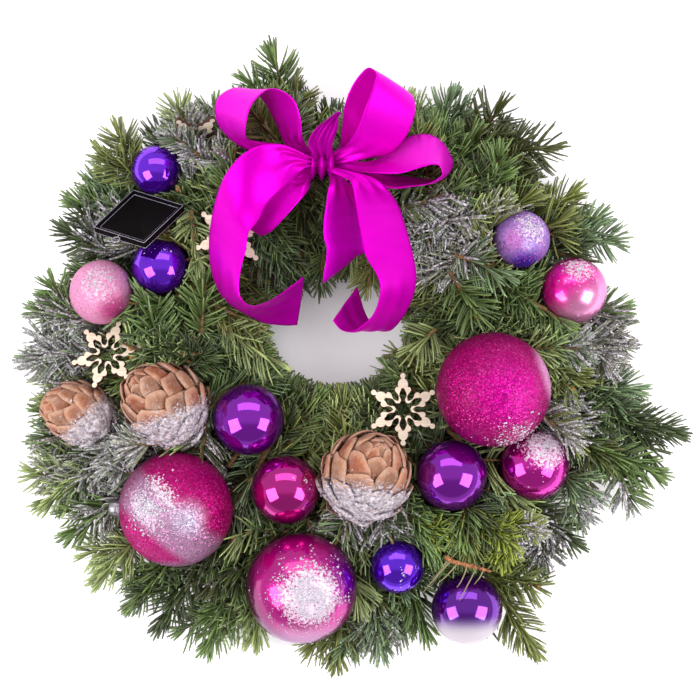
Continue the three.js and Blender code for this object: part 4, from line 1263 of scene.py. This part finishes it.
def add_knot():
    """One turn of ribbon wrapped round the gathered strips."""
    stations = []
    for degrees in np.linspace(-100, 275, 17):
        c, s = math.cos(math.radians(degrees)), math.sin(math.radians(degrees))
        ease = 0.985 + 0.0001 * degrees  # the end lies over the start
        y, z = KNOT_CENTRE[1] + KNOT_HALF[1] * ease * c, KNOT_CENTRE[2] + KNOT_HALF[2] * ease * s
        stations.append([KNOT_CENTRE[0] - KNOT_HALF[0], y, z, KNOT_CENTRE[0] + KNOT_HALF[0], y, z])
    add_strip("bow_knot", stations, 0.1, "gathered", ["fir_bunch_4"], ["bow_knot"])


# how each strip is held, and what it rests on
LAID = {
    "bow_left_loop": ("folded", ["fir_bunch_5"]),
    "bow_left_tail": ("laid", ["fir_bunch_5", "fir_bunch_6"]),
    "bow_left_under_loop": ("folded", ["fir_bunch_5"]),
    "bow_right_loop": ("folded", ["fir_bunch_4"]),
    "bow_right_small_loop": ("folded", ["fir_bunch_3"]),
    "bow_short_end": ("gathered", ["bow_knot"]),
    "bow_centre_tail": ("laid", ["fir_bunch_4"]),
    "bow_right_tail": ("laid", ["fir_bunch_3"]),
}
for order, (name, stations) in enumerate(RIBBONS.items()):
    add_strip(name, stations, 0.13 * order, *LAID[name], [name])
add_knot()

# ---------------------------------------------------------------- fir sprigs

GREEN, DARK, LIGHT = srgb(96, 119, 62), srgb(60, 74, 36), srgb(142, 157, 98)
BLUISH, OLIVE, YELLOWISH = srgb(107, 130, 90), srgb(110, 118, 56), srgb(130, 142, 50)
TINTS = [(GREEN, 0.36), (DARK, 0.14), (LIGHT, 0.18), (BLUISH, 0.16), (OLIVE, 0.16)]
FROST_COLOUR = srgb(112, 102, 98)
NEEDLE_WIDTH, NEEDLE_THICKNESS = 1.85, 0.75
# a needle's stations as shares of its length, and its width and thickness at each
STATIONS = np.array([0.0, 0.22, 0.72, 1.0])
WIDTHS = np.array([0.45, 1.0, 0.98, 0.55])
THICKNESSES = np.array([0.6, 1.0, 0.9, 0.4])
BESIDE, FLATTER_ABOVE = 0.76, 0.72  # the share of needles to the sides, and how much less the others lean
HAS_BUD, SHORTEST_COUNT, LONGEST_SHOOT = 0.55, 12, 38.0
BUD = [(0, -0.6), (1.1, 0.1), (1.5, 1.3), (1.1, 2.6), (0, 3.6)]
TWIG_STEPS = 8


def frost_at(points):
    amount = np.zeros(len(points))
    for x, y, reach, thick in FROST:
        away = np.hypot(points[:, 0] - x, points[:, 1] - y) / reach
        amount = np.maximum(amount, thick * (1 - smoothstep(away, 0.45, 1.15)))
    return amount


def bent(start, middle, tip, t):
    """The points at the shares t of a bent line, and the ways it heads there."""
    at = (1 - t) ** 2 * start + 2 * t * (1 - t) * middle + t ** 2 * tip
    return at, unit(2 * (1 - t) * (middle - start) + 2 * t * (tip - middle))


class Sprigs:
    """Collects the needles, twigs and buds of all sprigs."""

    def __init__(self):
        self.needles, self.twigs, self.buds = [], [], []

    def sprig(self, bunch, start, tip, needle, density=1.6, rise=4.0, sweep=0.0, tint=None,
              thick=1.8, shade=1.0, free=False, shoots=0, lean=70.0, droop=0.0):
        """One sprig with the needles round it, its twig, perhaps a bud, and its side shoots.

        Lengths are in mm and density in needles for each mm. The needles lean from the twig by
        lean degrees, and those at its sides hang by droop degrees. Those of a free sprig may lie
        over an ornament.
        """
        rng = np.random.default_rng([len(self.twigs), 26])
        start, tip = np.asarray(start, float), np.asarray(tip, float)
        length = float(np.linalg.norm(tip - start))
        aside = unit(np.cross(tip - start, UP))
        middle = (start + tip) / 2 + UP * rise + aside * sweep
        if tint is None:
            tint = TINTS[rng.choice(len(TINTS), p=[share for _, share in TINTS])][0]
        count = max(SHORTEST_COUNT, int(density * length))
        t = np.clip(np.linspace(0.03, 1.0, count) + rng.normal(0, 0.006, count), 0, 1)[:, None]
        at, way = bent(start, middle, tip, t)
        up = unit(UP - (way @ UP)[:, None] * way)
        across = np.cross(way, up)
        near_tip = smoothstep(t[:, 0], 0.86, 1.0)
        sides = rng.choice([-1.0, 1.0], count)
        beside = rng.random(count) < BESIDE
        to_side = sides * (rng.uniform(58, 102, count) + droop)
        azimuth = np.where(beside, to_side, rng.uniform(-50, 50, count))
        azimuth = azimuth * (1 - near_tip) + rng.uniform(-130, 130, count) * near_tip
        azimuth = np.radians(azimuth)[:, None]
        angle = lean * np.where(beside, 1.0, FLATTER_ABOVE) * (1 - 0.14 * t[:, 0]) * (1 - 0.62 * near_tip)
        angle = np.radians(angle + rng.normal(0, 4.5, count))[:, None]
        out = np.cos(azimuth) * up + np.sin(azimuth) * across
        direction = unit(np.cos(angle) * way + np.sin(angle) * out + 0.10 * up)
        size = needle * (0.72 + 0.28 * smoothstep(t[:, 0], 0.0, 0.25)) * (1 - 0.34 * near_tip)
        size = size * rng.uniform(0.86, 1.1, count)
        curl = unit(way + 0.3 * up) * (0.21 * size[:, None])
        face = unit(up + 0.5 * way - 0.2 * out)
        # painted shade: shade darkens the needles of sprigs that lie low or deep in the wreath
        colour = tint * rng.uniform(0.56, 1.42, (count, 1)) * (0.8 + 0.4 * t) * shade
        self.needles.append(dict(
            at=at, direction=direction, size=size, curl=curl, face=face, colour=colour,
            bunch=np.full(count, bunch), free=np.full(count, free),
            sprig=np.full(count, len(self.twigs))))
        path, _ = bent(start, middle, tip, np.linspace(0, 1, TWIG_STEPS)[:, None])
        self.twigs.append((bunch, path, np.linspace(thick, thick * 0.45, TWIG_STEPS)))
        if rng.random() < HAS_BUD:
            self.buds.append((bunch, len(self.twigs) - 1, tip, unit(tip - middle)))
        for k in range(shoots):
            share = 0.42 + 0.36 * k / max(1, shoots - 1) if shoots > 1 else 0.6
            root, heading = bent(start, middle, tip, share)
            turn = math.radians(rng.uniform(36, 50)) * (1 if k % 2 else -1)
            flat = unit(np.cross(heading, UP))
            heading = unit(heading * math.cos(turn) + flat * math.sin(turn))
            reach = min(LONGEST_SHOOT, length * 0.34) * (1.2 - 0.55 * share) * rng.uniform(0.85, 1.15)
            end = root + heading * reach + UP * rng.uniform(-3, 3)
            self.sprig(bunch, root, end, needle * 0.9, density, rise=1.5, tint=tint,
                       thick=thick * 0.62, shade=shade, free=free, lean=lean)


FARTHEST_EDGE = 90.0  # no edge of the open middle lies farther than this from the ring's centre


def hole_radius(degrees):
    """How far the wreath's middle is open in a direction from the ring's centre."""
    way = np.array([math.cos(math.radians(degrees)), math.sin(math.radians(degrees))])
    radius = np.arange(0.0, FARTHEST_EDGE, 0.5)[:, None]
    outside = np.linalg.norm((RING_CENTRE + radius * way - HOLE_CENTRE) / HOLE_HALF, axis=1) >= 1
    return float(radius[np.argmax(outside), 0])


greenery = Sprigs()


def bunches(seed):
    """Each bunch's number, first angle, width and outer tips, with a spread() of its own."""
    layout = np.random.default_rng(seed)
    for bunch, tips in enumerate(OUTER_TIPS):
        start, end = BUNCH_EDGES[bunch], BUNCH_EDGES[bunch + 1]
        yield bunch, start, end - start, tips, layout.uniform


def outline(degrees, tips):
    return float(np.interp(degrees, [d for d, _ in tips], [r for _, r in tips]))


for bunch, start, wide, tips, spread in bunches(1):  # the sprigs that make the outline
    for degrees, radius in tips:
        root = degrees + (start + wide / 2 - degrees) * 0.2 + spread(-3, 3)
        slim = radius > 255 or degrees == 103.5  # a lone sprig that stands out of the outline
        greenery.sprig(bunch, polar(root, 98, 34), polar(degrees, radius - 9, spread(20, 30)),
                       needle=19, density=2.1, rise=5, sweep=spread(-3, 3), shoots=1 if slim else 2)
for bunch, start, wide, tips, spread in bunches(2):  # over them, from the crest outward
    for k in range(5):
        degrees = start + (k + 0.5) / 5 * wide + spread(-3, 3)
        reach = min(spread(146, 184), outline(degrees, tips) - 24)
        greenery.sprig(bunch, polar(degrees + spread(-6, 6), spread(88, 104), 47),
                       polar(degrees, reach, spread(36, 48)),
                       needle=20, density=1.7, rise=5, sweep=spread(-5, 5), shoots=2)
for bunch, start, wide, tips, spread in bunches(3):  # short ones along the crest
    for k in range(5):
        degrees = start + (k + 0.5) / 5 * wide + spread(-3, 3)
        base = polar(degrees, spread(96, 124), spread(48, 53))
        heading = math.radians(degrees + spread(-65, 65))
        reach = spread(42, 62)
        tip = base + np.array([math.cos(heading) * reach, math.sin(heading) * reach, spread(3, 10)])
        greenery.sprig(bunch, base, tip, needle=18, density=1.7, rise=4, sweep=spread(-4, 4))
for bunch, start, wide, tips, spread in bunches(4):  # two rows round the middle
    for k in range(4):
        degrees = start + (k + 0.5) / 4 * wide + spread(-2, 2)
        open_to = hole_radius(degrees) + 10
        greenery.sprig(bunch, polar(degrees + spread(-5, 5), 118, 50),
                       polar(degrees, open_to + spread(0, 6), spread(28, 38)),
                       needle=17, density=1.7, rise=6, sweep=spread(-4, 4))
        # the lower row is darkened as painted shade
        greenery.sprig(bunch, polar(degrees + spread(-5, 5), 104, 24),
                       polar(degrees, open_to + spread(0, 4), spread(11, 18)),
                       needle=16, density=1.4, rise=4, sweep=spread(-4, 4), shade=0.7)
# these low ones are darkened as painted shade
for bunch, start, wide, tips, spread in bunches(5):  # low ones near the surface it lies on
    for k in range(6):
        degrees = start + (k + 0.5) / 6 * wide + spread(-3, 3)
        greenery.sprig(bunch, polar(degrees + spread(-5, 5), 114, 12),
                       polar(degrees, outline(degrees, tips) * spread(0.79, 0.91), spread(7, 12)),
                       needle=18, density=1.5, rise=2, sweep=spread(-5, 5), shade=0.75, droop=26)
# painted shade: these fill sprigs are darkened to make the gaps below read dark
for bunch, start, wide, tips, spread in bunches(6):  # dark ones that fill the gaps below
    for k in range(8):
        degrees = start + (k + 0.5) / 8 * wide + spread(-3, 3)
        base = polar(degrees, spread(84, 158), spread(20, 34))
        heading = math.radians(degrees + spread(-110, 110))
        tip = base + np.array([math.cos(heading), math.sin(heading), 0]) * spread(44, 62)
        greenery.sprig(bunch, base, tip, needle=22, density=1.5, rise=2, sweep=spread(-4, 4),
                       shade=0.42, tint=OLIVE)

# sprigs that stand out: bunch, cut end, tip, needle length, tint, more
NOTED = [
    (6, (-131, 2, 58), (-143, 44, 62), 21, GREEN, {}),
    (5, (-104, 18, 56), (-102, 50, 62), 20, GREEN, {}),
    (5, (-111, 103, 60), (-107, 66, 62), 16, LIGHT, {}),
    (4, (-74, 84, 50), (-79, 43, 84), 22, LIGHT, dict(lean=84, rise=12)),
    (6, (-96, 38, 52), (-60, 20, 46), 20, OLIVE, {}),
    (6, (-90, 22, 52), (-56, 0, 46), 20, LIGHT, {}),
    (2, (22, 84, 44), (12, 50, 40), 15, OLIVE, dict(free=True)),
    (2, (70, 60, 58), (88, 30, 66), 20, GREEN, {}),
    (2, (74, 72, 60), (106, 60, 66), 20, BLUISH, {}),
    (11, (60, 20, 58), (46, 8, 58), 20, LIGHT, {}),
    (10, (88, -112, 52), (116, -132, 58), 12, YELLOWISH, dict(density=2.6, shoots=2)),
    (10, (98, -108, 50), (108, -142, 54), 12, YELLOWISH, dict(density=2.6, shoots=2)),
    (10, (104, -112, 52), (132, -122, 56), 12, YELLOWISH, dict(density=2.6, shoots=1)),
    (9, (40, -112, 50), (66, -126, 56), 12, YELLOWISH, dict(density=2.4, shoots=1)),
    (7, (-182, -46, 20), (-214, -58, 22), 19, GREEN, {}),
    (7, (-176, -66, 24), (-212, -76, 24), 19, LIGHT, {}),
    (7, (-168, -56, 26), (-196, -88, 28), 19, BLUISH, {}),
    (4, (-106, 140, 40), (-121, 176, 34), 17, LIGHT, dict(free=True)),
    (4, (-98, 136, 46), (-125, 157, 48), 13, BLUISH, dict(free=True)),
    (4, (-100, 130, 46), (-82, 152, 46), 15, GREEN, dict(free=True)),
    (4, (-34, 74, 44), (-38, 50, 36), 14, DARK, dict(free=True)),
    (4, (-18, 74, 44), (-22, 52, 36), 14, GREEN, dict(free=True)),
    (11, (46, -24, 46), (27, -8, 38), 14, GREEN, dict(free=True)),
    (11, (50, -8, 46), (34, 4, 38), 14, OLIVE, dict(free=True)),
]
for bunch, start, tip, needle, tint, more in NOTED:
    greenery.sprig(bunch, start, tip, needle, tint=tint, **{"density": 2.0, "rise": 3, **more})

HARD = [name for name, *_ in CONES + SNOWFLAKES] + ["black_tag"]
SOFT = [*RIBBONS, "bow_knot"]
DOWN = Vector((0, 0, -1))
FAR_BELOW, NEAR_RIBBON = 0.2, 0.0016  # metres
OFF_BALL, LOWEST_NEEDLE = 0.3, 1.0  # mm
BALL_TOP, OPEN_MIDDLE = 0.92, 0.97  # shares of a ball's radius and of the open middle's
FEWEST_LEFT = 0.3  # a sprig that keeps a smaller share of its needles goes altogether


def search_tree(names):
    """The faces of CAD nodes, to look up what lies under or near a point."""
    corners, faces = [], []
    for name in names:
        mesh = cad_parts[name].data
        count = len(corners)
        corners += [v.co.copy() for v in mesh.vertices]
        faces += [[i + count for i in f.vertices] for f in mesh.polygons]
    return BVHTree.FromPolygons(corners, faces)


def misplaced(needles):
    """Which needles would lie in or over an ornament, below the floor or across the middle."""
    points_along = [
        needles["at"] + needles["direction"] * (needles["size"] * share)[:, None]
        + needles["curl"] * share ** 2 for share in (0.15, 0.45, 0.75, 1.0)]
    gone = np.zeros(len(needles["size"]), bool)
    over = np.zeros(len(gone), bool)
    for _, centre, diameter, *_ in BAUBLES:
        for p in points_along:
            flat = np.hypot(p[:, 0] - centre[0], p[:, 1] - centre[1]) / (diameter / 2)
            gone |= np.linalg.norm(p - centre, axis=1) < diameter / 2 + OFF_BALL
            over |= (flat < BALL_TOP) & (p[:, 2] > centre[2])
    hard, soft = search_tree(HARD), search_tree(SOFT)
    for p in points_along:
        q = place(p)
        for i in np.flatnonzero(~gone):
            spot = Vector(q[i])
            if hard.ray_cast(spot, DOWN, FAR_BELOW)[0] or soft.ray_cast(spot, DOWN, FAR_BELOW)[0]:
                over[i] = True
            elif soft.find_nearest(spot, NEAR_RIBBON)[0]:
                gone[i] = True
        gone |= p[:, 2] < LOWEST_NEEDLE
        over |= np.linalg.norm((p[:, :2] - HOLE_CENTRE) / HOLE_HALF, axis=1) < OPEN_MIDDLE
    return gone | (over & ~needles["free"])


needles = {key: np.concatenate([n[key] for n in greenery.needles]) for key in greenery.needles[0]}
gone = misplaced(needles)
total = np.bincount(needles["sprig"], minlength=len(greenery.twigs))
left = np.bincount(needles["sprig"][~gone], minlength=len(greenery.twigs))
bare = left < FEWEST_LEFT * total
gone |= bare[needles["sprig"]]
kept = {key: value[~gone] for key, value in needles.items()}
frost = frost_at(kept["at"] + kept["direction"] * kept["size"][:, None] * 0.5)
frosted = rng.random(len(frost)) < frost
covered = frosted * (0.3 + 0.7 * rng.random(len(frost)) ** 0.6) * np.clip(frost * 1.4, 0.3, 1)


# how bright a needle is: at its two sides, its top and its bottom, as painted light and shade with the top
# lit and the sides and bottom darkened; and from its foot to its tip
NEEDLE_ROUND_LIGHT_AND_SHADE = np.array([0.70, 1.24, 0.70, 0.66])
LENGTHWISE_TONES = np.array([0.5, 0.84, 1.02, 1.16])
PALE_TIP = srgb(136, 148, 118)
BACK_END = [(-0.08, 0.2), (-0.08, 0.5), (-0.02, 0.5), (-0.02, 0.2)]
FRONT_END = [(1.02, 0.2), (1.02, 0.5), (1.08, 0.5), (1.08, 0.2)]
SNOWY, GRAINS_EACH = 0.45, 1.8  # needles with more snow than that carry so many grains each


def needle_map(count):
    """Where each corner of a bunch's needles lies on a map made for their colours.

    Each needle has its own cell.
    """
    corners = []
    for a, b in zip(STATIONS, STATIONS[1:]):
        for i in range(4):
            corners += [(a, i / 4), (a, (i + 1) / 4), (b, (i + 1) / 4), (b, i / 4)]
    corners = (np.array(corners + BACK_END + FRONT_END) * 0.72 + 0.14)[None]
    cells = int(math.ceil(math.sqrt(count)))
    number = np.arange(count)
    cell = np.stack([number % cells, number // cells], 1)[:, None]
    return (cell + corners) / cells


def needle_mesh(name, chosen):
    """All needles of a bunch, each a flat rod of four stations with a top and a bottom ridge."""
    k = {key: value[chosen] for key, value in kept.items()}
    count = len(k["size"])
    snow = covered[chosen]
    direction = k["direction"]
    face = unit(k["face"] - (k["face"] * direction).sum(1)[:, None] * direction)
    wide = np.cross(direction, face)
    half_width = NEEDLE_WIDTH / 2 * (1 + 0.35 * snow)
    half_thick = NEEDLE_THICKNESS / 2 * (1 + 0.6 * snow)
    s = STATIONS[None, :, None]
    line = (k["at"][:, None] + direction[:, None] * (s * k["size"][:, None, None])
            + k["curl"][:, None] * s ** 2)
    w = wide[:, None] * (WIDTHS[None, :, None] * half_width[:, None, None])
    h = face[:, None] * (THICKNESSES[None, :, None] * half_thick[:, None, None])
    points = np.stack([line + w, line + h, line - w, line - h], 2).reshape(-1, 3)

    template = np.concatenate([ring_quads(len(STATIONS), 4), [[3, 2, 1, 0], [12, 13, 14, 15]]])
    quads = (template[None] + (np.arange(count) * 16)[:, None, None]).reshape(-1, 4)
    mesh = build_mesh(name, place(points), quads)

    colour = k["colour"][:, None, None] * NEEDLE_ROUND_LIGHT_AND_SHADE[:, None] * LENGTHWISE_TONES[:, None, None]
    colour[:, :, 3:] = colour[:, :, 3:] * 0.6 + PALE_TIP * 0.4
    dull = FROST_COLOUR * rng.uniform(0.1, 1.05, (count, 1))
    colour = colour + (dull[:, None, None] - colour) * 0.6 * snow[:, None, None, None]
    paint(mesh, "tint", colour.reshape(-1, 3))
    weigh(mesh, "frost", np.repeat(snow * 0.64, 16))

    layer = mesh.uv_layers.new(name="OFBake")
    layer.uv.foreach_set("vector", needle_map(count).astype(np.float32).ravel())
    return mesh, points.reshape(count, 4, 4, 3)


def bud_cluster(tip, way):
    """A twig's end bud and the two smaller ones beside it."""
    parts = []
    for k, size in enumerate((1.0, 0.75, 0.75)):
        lean = unit(way + 0.55 * k * unit(np.cross(way, UP)) * (-1) ** k)
        points, *faces = lathe(BUD, 8)
        parts.append((points * size @ along(lean) + tip, *faces))
    return parts


for bunch in range(len(OUTER_TIPS)):
    number = bunch + 1
    chosen = np.flatnonzero(kept["bunch"] == bunch)
    mesh, shapes = needle_mesh(f"fir_needles_{number}", chosen)
    add_piece(f"fir_needles_{number}", mesh, [NEEDLES], "fir", [f"fir_bunch_{number}"])
    twigs = [tube(path, radii) for i, (b, path, radii) in enumerate(greenery.twigs)
             if b == bunch and not bare[i]]
    add_body(f"fir_twigs_{number}", twigs, BARK, "fir")
    buds = [bud for b, i, tip, way in greenery.buds if b == bunch and not bare[i]
            for bud in bud_cluster(tip, way)]
    if buds:
        add_body(f"fir_buds_{number}", buds, BUDS, "fir")
    snowy_needles = chosen[covered[chosen] > SNOWY]
    if len(snowy_needles):
        picked = rng.choice(len(snowy_needles), int(len(snowy_needles) * GRAINS_EACH))
        which = np.searchsorted(chosen, snowy_needles[picked])
        share = rng.uniform(0.25, 1.0, len(which))
        station = np.stack([np.interp(share, STATIONS, row) for row in np.eye(len(STATIONS))], 1)
        spots = (shapes[which, :, 1] * station[..., None]).sum(1)
        add_crumbs(f"fir_snow_{number}", spots, rng.uniform(0.35, 1.15, len(spots)), "fir")

# ---------------------------------------------------------------- cut twig

CUT_TWIG = [(67, -139, 61), (72, -142, 63), (84, -145, 63), (98, -149, 60)]
# dry needles that hang from it: where each leaves the twig (share of its length) and its tip
DRY_NEEDLES = [
    (0.62, (74.5, -160, 68)), (0.80, (76.5, -169, 69)), (0.90, (86.5, -158, 63)), (0.30, (51, -164, 56)),
    (0.20, (55, -162, 55)), (0.12, (57, -155, 56)), (0.45, (61, -158, 57))]
DRY_TINTS = [srgb(150, 138, 92), srgb(112, 116, 84)]
PEGS = 34


def add_cut_twig():
    """A bare twig with the pegs its needles stood on, and the few dry needles that are left."""
    chance = np.random.default_rng(41)
    path = smooth_line(np.array(CUT_TWIG, float), 12)
    radii = np.linspace(1.7, 1.0, len(path)) * (1 + 0.16 * chance.uniform(-1, 1, len(path)))
    parts = [tube(path, radii, 12)]
    for _ in range(PEGS):
        k = chance.integers(1, len(path) - 1)
        out = unit(chance.normal(size=3) + [0, 0, 0.4])
        root = path[k] + out * radii[k] * 0.6
        peg = unit(out + 0.6 * unit(path[k + 1] - path[k]))
        parts.append(tube([root, root + peg * 0.9, root + peg * 1.7], [0.6, 0.45, 0.2], 6))
    add_body("cut_twig", parts, RED_BARK, "fir")

    parts, tints = [], []
    for share, tip in DRY_NEEDLES:
        root = path[int(share * (len(path) - 1))]
        steps = np.linspace(0, 1, 9)[:, None]
        bow = np.sin(math.pi * steps) * (chance.uniform(-1, 1, 3) + [0, 0, 1.5])
        parts.append(tube(root + (tip - root) * steps + bow, np.linspace(0.62, 0.3, 9), 6))
        tint = DRY_TINTS[0] + (DRY_TINTS[1] - DRY_TINTS[0]) * chance.random()
        tints.append(np.broadcast_to(tint, parts[-1][0].shape))
    piece = add_body("cut_twig_needles", parts, NEEDLES, "fir")
    paint(piece.data, "tint", np.concatenate(tints))


add_cut_twig()
